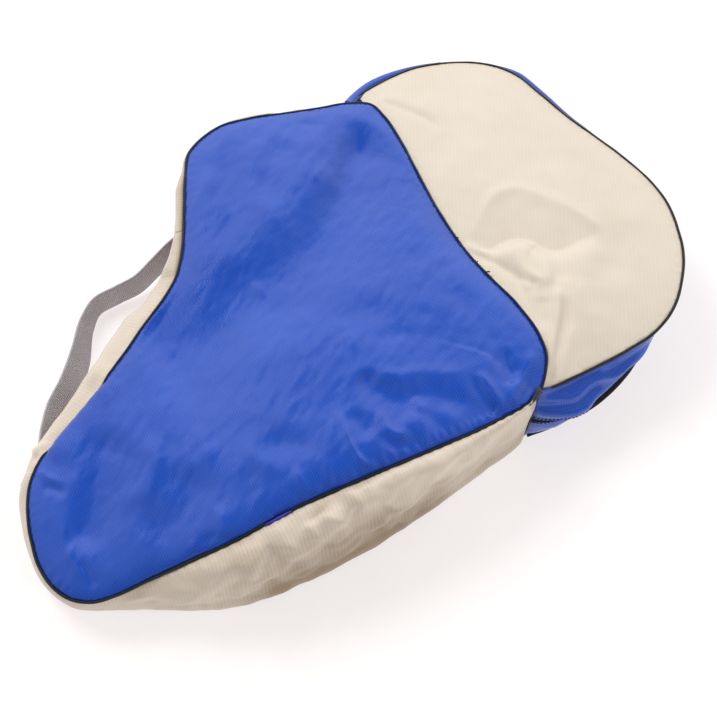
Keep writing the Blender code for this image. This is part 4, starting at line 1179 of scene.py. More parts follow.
low_col = np.linspace(0, 1, 18)
low_lift = (2.2 * np.sin(math.pi * low_col**0.8)[None]
            + 1.0 * fbm(np.stack(np.broadcast_arrays(ang_m[:, None] / 8.0, low_col[None] * 2.2), -1), 3, 67) * np.sin(math.pi * low_col)[None])
low_lift[:, :2] += 0.6
mouth_low, ml_q, _, _, ml_area = cloth_grid("mouth_gusset_below_zip", m_low, low_lift, [GUSSET, LINING], flip=flip_m)
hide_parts("mouth_gusset_lower")
declare_sheet(mouth_low, (0.055, 0.32), ml_area)
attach(mouth_low, "bag")


# ------------------------------------------------------------------ zips
def tape_strip(name, centre, radius, z0, z1, a0, a1, wave_seed):
    """Zip tape: a thin woven strip, slightly cupped, on the zip's circle."""
    n = max(8, int(math.radians(abs(a1 - a0)) * radius / 2.5))
    a = np.linspace(a0, a1, n)
    zs = np.linspace(z1, z0, 7)
    w = 0.18 * noise(np.stack([a / 3.0, a * 0], -1), wave_seed)
    p = np.stack([on_circle(centre, radius + 0.35 + 0.25 * math.sin(math.pi * k / 6), a, z) for k, z in enumerate(zs)], 1)
    rad = unit(p - np.array([*centre, 0.0]) * [1, 1, 0] - p * [0, 0, 1])
    p = p + rad * (w[:, None] * np.sin(np.linspace(0, math.pi, 7))[None])[..., None]
    mid = (z0 + z1) / 2
    uv = np.stack([np.repeat(np.radians(a)[:, None] * radius, 7, 1), np.repeat((zs - mid)[None], n, 0)], -1).reshape(-1, 2) * 0.001
    obj = mesh_object(name, place(p.reshape(-1, 3)), grid_faces(n, 7, flip=out_is_flip(p, centre)), TAPE, uv)
    solidify(obj, 0.7, -1.0)
    return obj, n


def coil_side(name, centre, radius, z, a0, a1, way):
    """One side of a coil zip: loops of monofilament that reach towards the middle, on their sewn core."""
    pitch = 1.5
    step = math.degrees(pitch / radius)
    verts, faces = [], []
    sec = ring(0.36, 6)
    for i, a in enumerate(np.arange(a0 + step / 2, a1 - step / 2, step)):
        shift = 0.25 * step * way
        path = []
        for u, dz, dr in ((-0.34, 2.6, -0.15), (-0.30, 1.2, 0.55), (-0.12, 0.42, 0.9), (0.12, 0.42, 0.9), (0.30, 1.2, 0.55), (0.34, 2.6, -0.15)):
            path.append(on_circle(centre, radius + 0.35 + dr, a + shift + u * step, z + way * dz))
        path = np.array(path)
        ref = unit(path - np.array([*centre, 0.0]) * [1, 1, 0] - path * [0, 0, 1])
        v, f, _ = sweep(path, sec, ref=ref)
        base = len(verts)
        verts.extend(v)
        faces.extend(tuple(j + base for j in q) for q in f)
    a = np.linspace(a0, a1, max(8, int((a1 - a0) / step)))
    core = on_circle(centre, radius + 0.55, a, z + way * 2.0)
    v, f, _ = sweep(core, ring(0.5, 8))
    base = len(verts)
    verts.extend(v)
    faces.extend(tuple(j + base for j in q) for q in f)
    return mesh_object(name, place(np.array(verts)), faces, COIL)


EDGE = CHAIN_GAP + CHAIN_W + 0.3
for zip_name, centre, radius, z, teeth, tape, joint in (
        ("mouth_zip", MOUTH_C, MOUTH_R, MOUTH_Z, MOUTH_TEETH, MOUTH_TAPE, FLAP),
        ("pocket_zip", POCKET_C, POCKET_R, POCKET_Z, POCKET_TEETH, POCKET_TAPE, LID)):
    up, n_up = tape_strip(zip_name + "_woven_tape_upper", centre, radius, z + EDGE - 0.6, z + RIM + 2.0, tape[0], tape[1], 71)
    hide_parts(zip_name + "_tape_upper")
    declare_sheet(up, (0.012, round(math.radians(tape[1] - tape[0]) * radius * 0.001, 3)), None)
    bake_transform(up)
    lo_, n_lo = tape_strip(zip_name + "_woven_tape_lower", centre, radius, z - RIM - 2.0, z - EDGE + 0.6, tape[0], tape[1], 73)
    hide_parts(zip_name + "_tape_lower")
    declare_sheet(lo_, (0.012, round(math.radians(tape[1] - tape[0]) * radius * 0.001, 3)), None)
    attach(lo_, "bag")
    cu = coil_side(zip_name + "_coil_upper", centre, radius, z, teeth[0], teeth[1], 1)
    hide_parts(zip_name + "_chain_upper")
    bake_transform(cu)
    cl = coil_side(zip_name + "_coil_lower", centre, radius, z, teeth[0], teeth[1], -1)
    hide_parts(zip_name + "_chain_lower")
    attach(cl, "bag")


def rounded(obj, width, segments=3):
    m = obj.modifiers.new("edges", "BEVEL")
    m.width = width * 0.001
    m.segments = segments
    m.limit_method = "ANGLE"
    m.angle_limit = math.radians(30)
    m.harden_normals = False
    return obj


def prism(bm, outline, z0, z1, frame_of):
    """Closed prism over an outline in local (y along the zip, z up the bag), from x z0 to x z1 (out of the bag)."""
    low = [bm.verts.new(frame_of(z0, y, z)) for y, z in outline]
    top = [bm.verts.new(frame_of(z1, y, z)) for y, z in outline]
    n = len(outline)
    bm.faces.new(low[::-1])
    bm.faces.new(top)
    for i in range(n):
        bm.faces.new((low[i], low[(i + 1) % n], top[(i + 1) % n], top[i]))


def slider_piece(name, centre, radius, z, park, node, body):
    """Zip slider: two shaped wings held by a throat post, and the bridge that holds the pull."""
    a = math.radians(park)
    rad, tan = np.array([math.cos(a), math.sin(a), 0]), np.array([-math.sin(a), math.cos(a), 0])
    mid = np.array([centre[0], centre[1], z])

    def at(x, y, h):
        return place(mid + rad * (radius + x) + tan * y + np.array([0, 0, h]))

    bm = bmesh.new()
    wing = [(-5.0, -1.6), (-4.4, -2.6), (-1.5, -3.3), (2.6, -4.0), (4.6, -4.0), (5.0, -3.4), (5.0, -0.9), (3.6, 0.0),
            (5.0, 0.9), (5.0, 3.4), (4.6, 4.0), (2.6, 4.0), (-1.5, 3.3), (-4.4, 2.6), (-5.0, 1.6)]
    prism(bm, wing, 1.3, 2.5, at)
    prism(bm, wing, -2.5, -1.3, at)
    prism(bm, [(1.4, -0.28), (3.4, -0.28), (3.4, 0.28), (1.4, 0.28)], -1.6, 1.6, at)
    # turned-in rims of the wings, which run beside the coil
    for side in (-1, 1):
        rim = [(-4.2, side * 2.4), (-1.5, side * 3.0), (2.6, side * 3.7), (4.5, side * 3.7), (4.5, side * 4.0), (2.6, side * 4.0),
               (-1.5, side * 3.3), (-4.3, side * 2.65)]
        rim = rim if side > 0 else rim[::-1]
        prism(bm, rim, 0.55, 1.35, at)
        prism(bm, rim, -1.35, -0.55, at)
    # bridge, a bent strip
    arch = [(-3.8, 2.3), (-3.75, 4.2), (-3.2, 5.6), (-2.0, 6.3), (2.0, 6.3), (3.2, 5.6), (3.75, 4.2), (3.8, 2.3),
            (2.8, 2.3), (2.75, 4.0), (2.3, 4.9), (1.5, 5.25), (-1.5, 5.25), (-2.3, 4.9), (-2.75, 4.0), (-2.8, 2.3)]
    n = len(arch)
    left = [bm.verts.new(at(x, y, -1.05)) for y, x in arch]
    right = [bm.verts.new(at(x, y, 1.05)) for y, x in arch]
    for i in range(n):
        bm.faces.new((left[i], left[(i + 1) % n], right[(i + 1) % n], right[i]))
    half = n // 2
    for i in range(half - 1):
        j = n - 1 - i
        bm.faces.new((left[i], left[j], left[j - 1], left[i + 1]))
        bm.faces.new((right[i + 1], right[j - 1], right[j], right[i]))
    bmesh.ops.recalc_face_normals(bm, faces=bm.faces)
    me = bpy.data.meshes.new(name)
    bm.to_mesh(me)
    bm.free()
    me.materials.append(METAL)
    me.shade_smooth()
    me.set_sharp_from_angle(angle=math.radians(35))
    obj = bpy.data.objects.new(name, me)
    SCENE.collection.objects.link(obj)
    rounded(obj, 0.22, 2)
    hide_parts(node)
    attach(obj, body)
    return obj


def pull_piece(name, centre, radius, z, park, way, node, body):
    """Stamped pull tab with a slot at its pin and a raised grip."""
    a = math.radians(park)
    rad, tan = np.array([math.cos(a), math.sin(a), 0]), np.array([-math.sin(a), math.cos(a), 0]) * way
    pin = np.array([centre[0], centre[1], z]) + rad * (radius + 4.0)

    def at(x, y, h):                 # x along the tab, y across (up the bag), h out of the bag
        return place(pin + tan * x + np.array([0, 0, y]) + rad * h)

    L, Wd = 22.0, 3.2
    outer = [(-0.6, -2.4), (0.6, -3.1), (3.0, -3.15), (8.0, -2.5), (11.0, -2.3), (14.0, -2.7), (18.5, -3.1), (20.8, -2.6), (21.8, -1.2),
             (21.8, 1.2), (20.8, 2.6), (18.5, 3.1), (14.0, 2.7), (11.0, 2.3), (8.0, 2.5), (3.0, 3.15), (0.6, 3.1), (-0.6, 2.4)]
    inner = [(0.6, -1.9), (5.2, -1.9), (6.2, -1.3), (6.2, 1.3), (5.2, 1.9), (0.6, 1.9)]
    verts2 = outer + inner
    flat = geometry.delaunay_2d_cdt([Vector(p) for p in verts2], [], [list(range(len(outer))), list(range(len(outer), len(verts2)))[::-1]], 0, 1e-6)
    v2 = [tuple(p) for p in flat[0]]
    keep = []
    oc, ic = np.array(outer), np.array(inner)
    for q in flat[2]:
        c = np.array([v2[i] for i in q]).mean(0)[None]
        if inside(oc, c)[0] and not inside(ic, c)[0]:
            keep.append(q)
    bm = bmesh.new()
    base = [bm.verts.new(at(x, y, -0.6)) for x, y in v2]
    for q in keep:
        try:
            bm.faces.new([base[i] for i in q])
        except ValueError:
            pass
    bmesh.ops.dissolve_limit(bm, angle_limit=0.01, verts=bm.verts, edges=bm.edges)
    made = bmesh.ops.extrude_face_region(bm, geom=bm.faces[:])
    push = Vector(rad * 1.2 * 0.001)
    bmesh.ops.translate(bm, verts=[g for g in made["geom"] if isinstance(g, bmesh.types.BMVert)], vec=push)
    # ribs of the grip, just proud of both faces
    for x in (13.2, 14.9, 16.6, 18.3):
        for h0, h1 in ((0.55, 0.82), (-0.82, -0.55)):
            prism(bm, [(x - 0.35, -1.7), (x + 0.35, -1.7), (x + 0.35, 1.7), (x - 0.35, 1.7)], h0, h1, lambda h, xx, yy: at(xx, yy, h))
    bmesh.ops.recalc_face_normals(bm, faces=bm.faces)
    me = bpy.data.meshes.new(name)
    bm.to_mesh(me)
    bm.free()
    me.materials.append(METAL)
    me.shade_smooth()
    me.set_sharp_from_angle(angle=math.radians(35))
    obj = bpy.data.objects.new(name, me)
    SCENE.collection.objects.link(obj)
    rounded(obj, 0.18, 2)
    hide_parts(node)
    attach(obj, body)
    return obj


slider_piece("mouth_slider_body", MOUTH_C, MOUTH_R, MOUTH_Z, MOUTH_PARK, "mouth_zip_slider", "mouth_slider")
pull_piece("mouth_pull_tab", MOUTH_C, MOUTH_R, MOUTH_Z, MOUTH_PARK, 1, "mouth_zip_pull", "mouth_pull")
slider_piece("pocket_slider_body", POCKET_C, POCKET_R, POCKET_Z, POCKET_PARK, "pocket_zip_slider", "pocket_slider")
pull_piece("pocket_pull_tab", POCKET_C, POCKET_R, POCKET_Z, POCKET_PARK, -1, "pocket_zip_pull", "pocket_pull")


def stop_piece(name, node, centre, radius, z, degrees):
    """Bar tack that ends the zip: close satin stitches across both tapes."""
    lines = []
    for k in range(6):
        a = degrees + math.degrees((k - 2.5) * 0.42 / radius)
        h = np.linspace(-2.3, 2.3, 7)
        pts = np.array([on_circle(centre, radius + 1.25 - 0.35 * (x / 2.3) ** 2, a, z + x) for x in h])
        lines.append(pts)
    verts, faces = [], []
    for pts in lines:
        ref = unit(pts - np.array([*centre, 0.0]) * [1, 1, 0] - pts * [0, 0, 1])
        v, f, _ = sweep(pts, ring(0.3, 6), ref=ref)
        base = len(verts)
        verts.extend(v)
        faces.extend(tuple(j + base for j in q) for q in f)
    obj = mesh_object(name, place(np.array(verts)), faces, THREAD_DARK)
    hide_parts(node)
    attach(obj, "bag")


stop_piece("mouth_tack_front", "mouth_zip_stop_front", MOUTH_C, MOUTH_R, MOUTH_Z, 165.5)
stop_piece("mouth_tack_back", "mouth_zip_stop_back", MOUTH_C, MOUTH_R, MOUTH_Z, 49.6)
stop_piece("pocket_tack_heel", "pocket_zip_stop_heel", POCKET_C, POCKET_R, POCKET_Z, -87.6)
stop_piece("pocket_tack_collar", "pocket_zip_stop_collar", POCKET_C, POCKET_R, POCKET_Z, 87.6)

# ------------------------------------------------------------------ pocket
P_LAST = len(POCKET) - 1.0
pk_t = evenly(pocket_upper, 0.0, P_LAST, 2.2)
pk_edge = pocket_upper(pk_t)
pk_out = outward(pocket_upper, pk_t)
pocket_piping = piping("pocket_piping_upper", pk_edge, PIPE_POCKET, PIPING, False, 9)
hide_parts("pocket_lid_piping")
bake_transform(pocket_piping)
pl_t = evenly(pocket_lower, 0.0, P_LAST, 3.0)
pocket_piping_low = piping("pocket_piping_lower", pocket_lower(pl_t), PIPE_POCKET - 0.1, PIPING, False, 10)
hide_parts("pocket_lower_piping")
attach(pocket_piping_low, "bag")

# upper face: from the piping to the seam below the boot's back edge
seam_t = evenly(boot_upper, 11.0, 0.35, 2.6)
seam_line = boot_upper(seam_t) - outward(boot_upper, seam_t) * 2.2 + np.array([0, 0, -3.4])
rim_line = pk_edge - pk_out * 0.9 + np.array([0, 0, 0.5])
rim_keep = (pk_t > 0.25) & (pk_t < P_LAST - 0.3)
pk_border = np.vstack([rim_line[rim_keep], seam_line])
pv, pf = triangulate(pk_border[:, :2], STEP)
pd, pk_near = to_edge(pk_border[:, :2], pv)
p_held = np.zeros(len(pv), bool)
p_held[:len(pk_border)] = True
p_zh = np.zeros(len(pv))
p_zh[:len(pk_border)] = pk_border[:, 2]
p_height, p_swell = inflate(pv, pf, p_held, p_zh, POCKET_CROWN)
pface = np.concatenate([pv, p_height[:, None]], 1)
ppx = seen_at(pface)
POCKET_FOLDS = [
    ([(380, 101), (400, 107), (420, 115), (446, 131)], -1.5, 3.6, "sharp", (0.15, 0.3)),
    ([(376, 97), (405, 103), (450, 120)], 0.9, 7, "soft", (0.2, 0.5)),
    # crease under the lobe beside the boot and the strip along the seam
    ([(463, 246), (480, 250), (498, 255)], 1.6, 6, "soft", (0.1, 0.4)),
    ([(466, 250), (480, 255), (496, 262), (511, 271), (526, 280), (541, 285)], -2.8, 5, "sharp", (0.2, 0.1)),
    ([(557, 281), (540, 285), (523, 291)], 2.8, 4, "step", (0.2, 0.15)),
    ([(543, 296), (542, 314), (545, 332)], -1.6, 9, "soft", (0.2, 0.4)),
    # upright fold above the heel: ridge, valley, ridge
    ([(557, 283), (558, 302), (556, 330), (552, 350), (547, 370), (543, 389)], 2.8, 5, "soft", (0.15, 0.1)),
    ([(562, 290), (565, 312), (562, 333), (558, 351), (553, 372), (547, 389)], -3.8, 6, "soft", (0.25, 0.08)),
    ([(573, 316), (568, 342), (560, 366), (551, 388)], 1.8, 7, "soft", (0.3, 0.1)),
    ([(560, 250), (561, 266), (564, 284)], -1.4, 8, "soft", (0.3, 0.3)),
    # broad shapes on the right
    ([(594, 240), (584, 286), (580, 330)], 2.0, 17, "soft", (0.2, 0.4)),
    ([(622, 214), (618, 246), (606, 290)], -2.0, 18, "soft", (0.4, 0.4)),
    ([(604, 300), (596, 325), (590, 350)], 1.2, 16, "soft", (0.4, 0.4)),
    ([(430, 150), (470, 160), (520, 150)], 1.4, 26, "soft", (0.4, 0.4)),
    ([(540, 150), (560, 180), (590, 200)], 1.0, 18, "soft", (0.4, 0.4)),
]
p_lift = np.zeros(len(pface))
for q in POCKET_FOLDS:
    p_lift += fold(ppx, *q)
# hollow below the middle: an even slope down from its arched rim to a short rise
HOLLOW_RIM = [(452, 240), (472, 230), (479, 217), (487, 203), (499, 192), (514, 188), (532, 192), (550, 200), (576, 211), (602, 227), (616, 232)]
HOLLOW_FOOT = [(452, 241), (474, 240), (490, 246), (502, 239), (516, 235), (530, 237), (541, 242), (556, 246), (571, 241), (586, 234), (602, 228), (616, 233)]
d_rim, _ = near_line(ppx, HOLLOW_RIM)
d_foot, _ = near_line(ppx, HOLLOW_FOOT)
depth = np.maximum(d_rim, 0)
share = depth / (depth + np.maximum(-d_foot, 0) + 1e-3)
deep = 6.2 * np.clip((depth + np.maximum(-d_foot, 0)) / 34.0, 0, 1) * smooth01(458, 476, ppx[:, 0]) * (1 - smooth01(597, 607, ppx[:, 0]))
p_lift -= np.where(d_rim > 0, deep * share**1.15, 0) * np.exp(-((np.maximum(d_foot, 0) / 9.0) ** 2))
p_lift += 1.3 * np.exp(-((d_rim / 6.5) ** 2)) * smooth01(470, 492, ppx[:, 0]) * (1 - smooth01(592, 606, ppx[:, 0]))
# the lobe between the hollow and the boot
p_lift += lump(ppx, [(474, 249), (490, 246), (501, 239), (516, 235), (530, 236), (538, 241), (532, 250), (529, 258),
                     (534, 268), (542, 280), (534, 284), (521, 278), (508, 269), (494, 261), (482, 254)], 3.2, 7.0)
p_lift += 0.8 * fbm(pv / 52.0, 3, 83) * smooth01(2, 30, pd)
p_lift += 0.18 * fbm(pv / 11.0, 2, 89) * smooth01(2, 14, pd)
p_lift *= smooth01(0, 8, pd) * 0.85 + 0.15 * smooth01(0, 3, pd)
ps = arc(pk_border)[pk_near]
p_wave = np.sin(2 * math.pi * (ps / 10.0 + 0.9 * noise(np.stack([ps / 30, ps * 0], -1), 91)))
p_lift += 0.22 * p_wave * np.exp(-((pd - 4.0) / 4.0) ** 2) * smooth01(0, 2.5, pd)
pface[:, 2] += p_lift
pocket_face = mesh_object("pocket_face_upper", place(pface), pf, [BEIGE, LINING], pface[:, :2] * 0.001,
                          attributes={"seam": np.exp(-pd / 4.0)})
solidify(pocket_face, 1.2, -1.0, True)
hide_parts("pocket_lid_panel", "pocket_upper_strip")
declare_sheet(pocket_face, (0.19, 0.34), mesh_area(place(np.concatenate([pv, p_height[:, None]], 1)), pf))
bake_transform(pocket_face)

# lower face
pl_border = np.vstack([(pocket_lower(pl_t) - outward(pocket_upper, pl_t) * 0.9),
                       boot_lower(evenly(boot_lower, 10.0, 0.6, 5.0)) + np.array([2.0, 0, 0])])
plv, plf = triangulate(pl_border[:, :2], 7.0)
pld, _ = to_edge(pl_border[:, :2], plv)
plz = np.maximum(FLOOR_Z - 1.35 * smooth01(0, 16, pld) + 0.25 * fbm(plv / 30.0, 2, 97) * smooth01(3, 20, pld), 0.35)
plow = np.concatenate([plv, plz[:, None]], 1)
pocket_low = mesh_object("pocket_face_lower", place(plow), plf[:, ::-1], [BEIGE, LINING], plow[:, :2] * 0.001,
                         attributes={"seam": np.exp(-pld / 4.0)})
solidify(pocket_low, 1.0, -1.0, True)
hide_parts("pocket_lower_panel")
declare_sheet(pocket_low, (0.19, 0.32), mesh_area(place(plow), plf))
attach(pocket_low, "bag")


def pocket_side(t, n):
    o = outward(pocket_upper, t)
    top = pocket_upper(t) + o * 0.5 + np.array([0, 0, -0.8])
    low = pocket_lower(t) + o * 0.5 + np.array([0, 0, 0.8])
    mid = pocket_waist(t)
    s = np.linspace(0, 1, 30)
    return even_rows(np.concatenate([bend(top, mid, s[::-1]), bend(low, mid, s[1:])], 1), n)


T_HEEL = param_at(pocket_upper, 0.0, P_LAST, POCKET_C, -88.5)
T_COLLAR = param_at(pocket_upper, 0.0, P_LAST, POCKET_C, 88.5)


def pocket_wall(t, n):
    """The pocket's side, drawn in to the boot's gusset at both of its ends."""
    p = pocket_side(t, n)
    heel = 1 - smooth01(0.0, 1.0, t)
    collar = smooth01(P_LAST - 1.2, P_LAST, t)
    heel_seam = boot_side(np.array([0.0, 0.01]), n)[0]
    collar_seam = boot_side(np.array([11.8, 11.81]), n)[0]
    p = p * (1 - heel)[:, None, None] + heel_seam[None] * heel[:, None, None]
    return p * (1 - collar)[:, None, None] + collar_seam[None] * collar[:, None, None]


q_t = evenly(pocket_upper, 0.0, P_LAST, 2.8)
q_p = pocket_wall(q_t, 60)
ang_q = angle_about(POCKET_C, pocket_upper(q_t))
# towards the heel the upper strip hangs over the zip as a flap: angle, height of its hem, how far off it stands
FLAP_HEM = np.array([(-98, 46, 1.0), (-95, 46, 4.2), (-92, 46, 6.9), (-88, 46, 11.4), (-84, 46, 12.0), (-80, 46.5, 7.4), (-76, 47, 5.7),
                     (-72, 47, 5.5), (-68, 47, 5.8), (-64, 47, 6.7), (-60, 46.4, 7.2), (-56, 42, 7.2), (-52, 36, 7.2), (-47, 38.3, 7.0),
                     (-40, 48, 2.6), (-33, 53.6, 0.6), (80, 53.6, 0.6), (88.5, 52, 0.6), (92, 44, 0.6), (99, 44, 0.6)], float)
hem_z = np.interp(ang_q, FLAP_HEM[:, 0], FLAP_HEM[:, 1])
hem_off = np.interp(ang_q, FLAP_HEM[:, 0], FLAP_HEM[:, 2])
hem_low = np.interp(ang_q, [-98, -92, -86, -80, 84, 92, 99], [37, 32.5, 28.5, 26, POCKET_Z - RIM, 40.4, 40.4])
q_up = rows_between(q_p, 999, hem_z, 22)
q_low = rows_between(q_p, hem_low, 0.0, 18)
flip_q = out_is_flip(q_up, POCKET_C)
col = np.linspace(0, 1, 22)
# rolls outwards on the far right and at the top left, hangs over the zip near the heel
roll_shape = np.sin(math.pi * col**0.53)


def pocket_want(ang):
    w = 7.4 * smooth01(-4, 8, ang) * (1 - smooth01(46, 56, ang)) + 9.0 * smooth01(68, 90, ang)
    return w * (1 + 0.15 * noise(np.stack([ang / 12, ang * 0], -1), 101))


q_up = bulged(q_up, outward(pocket_upper, q_t), pocket_want(ang_q), 6, roll_shape)
seamed = smooth01(0.0, 0.6, q_t) * (1 - smooth01(P_LAST - 0.6, P_LAST, q_t))
near_heel = 1 - smooth01(-62, -42, ang_q)
q_lift = (2.6 * near_heel * seamed)[:, None] * np.sin(math.pi * col**1.1)[None] + hem_off[:, None] * smooth01(0.15, 1.0, col)[None]
along_q = np.concatenate([[0], np.cumsum(np.linalg.norm(np.diff(q_up[:, 0], axis=0), axis=1))])
flow = np.stack(np.broadcast_arrays(along_q[:, None] / 60.0, col[None] * 2.6), -1)
q_lift += ((0.5 + 1.0 * near_heel)[:, None] * (0.7 - np.abs(fbm(flow, 2, 103))) + 0.3 * fbm(flow * [3.0, 1.5], 2, 107)) * np.sin(math.pi * col)[None]
# folds that fan out from the heel's seam
fan = seamed * near_heel
q_lift += fan[:, None] * 1.9 * np.sin(math.pi * col)[None] * np.sin(
    2 * math.pi * (col[None] * 2.1 - along_q[:, None] / 95.0 + 0.2 * noise(np.stack([along_q / 25, along_q * 0], -1), 109)[:, None]))
pocket_up, qu_q, _, _, qu_area = cloth_grid("pocket_gusset_above_zip", q_up, q_lift, [BLUE, LINING], flip=flip_q)
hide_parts("pocket_gusset_upper")
declare_sheet(pocket_up, (0.045, 0.56), qu_area)
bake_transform(pocket_up)

col2 = np.linspace(0, 1, 18)
flow2 = np.stack(np.broadcast_arrays(along_q[:, None] / 46.0, col2[None] * 2.1), -1)
q2_lift = (2.0 * np.sin(math.pi * col2**0.8)[None] + (1.2 * (0.6 - np.abs(fbm(flow2, 2, 113)))) * np.sin(math.pi * col2)[None]) * seamed[:, None]
q2_lift[:, :2] += 0.6
pocket_lowg, ql_q, _, _, ql_area = cloth_grid("pocket_gusset_below_zip", q_low, q2_lift, [BLUE, LINING], flip=flip_q)
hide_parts("pocket_gusset_lower")
declare_sheet(pocket_lowg, (0.045, 0.56), ql_area)
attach(pocket_lowg, "bag")

# black guard behind the zip's lower tape, which bellies out below the flap
u_t = q_t[(ang_q > -88.0) & (ang_q < -44.0)]
u_ang = angle_about(POCKET_C, pocket_upper(u_t))
u_p = rows_between(pocket_wall(u_t, 60), 36.6, 13.0, 14)
u_v = np.linspace(0, 1, 14)
u_in = smooth01(-88.0, -80.0, u_ang) * (1 - smooth01(-50.0, -44.0, u_ang))
u_lift = (1.2 + (3.6 * np.sin(math.pi * u_v**0.7) + 1.6 * u_v)[None] * u_in[:, None]) + 0.4 * noise(
    np.stack(np.broadcast_arrays(u_ang[:, None] / 4.0, u_v[None] * 2.0), -1), 137)
guard_p = u_p.copy()
guard_p[..., 2] = u_p[..., 2].max(1)[:, None] - (u_p[..., 2].max(1)[:, None] - u_p[..., 2]) * (0.25 + 0.75 * u_in[:, None])
guard, _, _, _, u_area = cloth_grid("pocket_zip_guard", guard_p, u_lift, [TAPE, TAPE], flip=out_is_flip(u_p, POCKET_C), thick=0.8)
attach(guard, "bag")

# end panels under the ends of the strips
for name, node, t0, t1, seed in (("pocket_end_heel", "pocket_gusset_end_heel", 0.0, T_HEEL + 0.1, 127),
                                 ("pocket_end_collar", "pocket_gusset_end_collar", T_COLLAR - 0.1, P_LAST, 131)):
    e_t = np.linspace(t0, t1, 9)
    e_p = pocket_wall(e_t, 30) - outward(pocket_upper, e_t)[:, None] * (2.6 * np.sin(np.linspace(0, math.pi, 30)) ** 0.5)[None, :, None]
    e_lift = 0.3 * fbm(np.stack(np.broadcast_arrays(e_t[:, None] * 2.0, np.linspace(0, 3, 30)[None]), -1), 2, seed) * np.sin(np.linspace(0, math.pi, 30))[None]
    end, _, _, _, e_area = cloth_grid(name, e_p, e_lift, [BLUE, LINING], flip=out_is_flip(e_p, POCKET_C))
    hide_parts(node)
    declare_sheet(end, (round(e_area / 0.095, 4), 0.10), e_area)
    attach(end, "bag")

# tails of the zip tape, caught between the strips past the tacks
for name, t0, t1 in (("pocket_zip_tail_heel", 0.02, T_HEEL - 0.08), ("pocket_zip_tail_collar", T_COLLAR - 0.25, P_LAST - 0.02)):
    e_t = np.linspace(t0, t1, 16)
    wall = pocket_wall(e_t, 90)
    mid_row = rows_between(wall, POCKET_Z - 3.0, POCKET_Z - 3.2, 2)[:, 0] + outward(pocket_upper, e_t) * 0.3
    v, f, uv = sweep(mid_row, [(0.35, -8.0), (0.5, 0.0), (0.35, 8.0), (-0.35, 8.0), (-0.35, -8.0)])
    tail = mesh_object(name, place(v), f, TAPE, uv)
    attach(tail, "bag")

# black binding down the upright seam at the heel
bind_t = np.full(26, 0.0)
bind = boot_side(np.array([0.0, 0.01]), 26)[0] + outward(boot_upper, np.array(0.0)) * 0.8
binding = piping("heel_binding", bind, 0.8, PIPING, False, 15)
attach(binding, "bag")


# ------------------------------------------------------------------ handle
def strap_section(width, thick):
    h, w = thick / 2, width / 2
    pts = []
    for k in np.linspace(-1, 1, 15):
        pts.append((w * k * 0.985, h * (1 - 0.10 * k**6)))
    pts += [(w, h * 0.45), (w, -h * 0.45)]
    for k in np.linspace(1, -1, 15):
        pts.append((w * k * 0.985, -h * (1 - 0.10 * k**6)))
    pts += [(-w, -h * 0.45), (-w, h * 0.45)]
    return np.array(pts)


def strap(name, path, ref, width=25.0, thick=1.8, caps=(True, True)):
    """Webbing along a path; ref is the direction out of its face."""
    sec = strap_section(width, thick)
    v, f, _ = sweep(path, sec, ref=ref, caps=caps)
    s = arc(path)
    uv = np.stack([np.repeat(s, len(sec)), np.tile(sec[:, 0], len(path))], -1) * 0.001
    return mesh_object(name, place(v), f, WEBBING, uv)


h_path = spline(HANDLE)
h_lean = spline(HANDLE_LEAN)
h_t = evenly(h_path, 0, len(HANDLE) - 1, 2.5)
h_c = h_path(h_t)
h_d = unit(np.gradient(h_c, axis=0))
h_o = unit(np.stack([-h_d[:, 1], h_d[:, 0], np.zeros(len(h_d))], -1))
h_a = np.radians(h_lean(h_t))
h_w = unit(h_o * np.sin(h_a) + np.array([0, 0, 1.0]) * np.cos(h_a))
h_n = unit(np.cross(h_w, h_d))
h_n *= np.sign((h_n * h_o).sum(1))[:, None]
half = len(h_c) // 2
for name, part, first, way in (("handle_strap_toe", slice(0, half + 1), h_c[0], 1), ("handle_strap_collar", slice(half, None), h_c[-1], -1)):
    piece = strap(name, h_c[part], h_n[part], caps=(way > 0, way < 0))
    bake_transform(piece)
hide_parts("grab_handle")


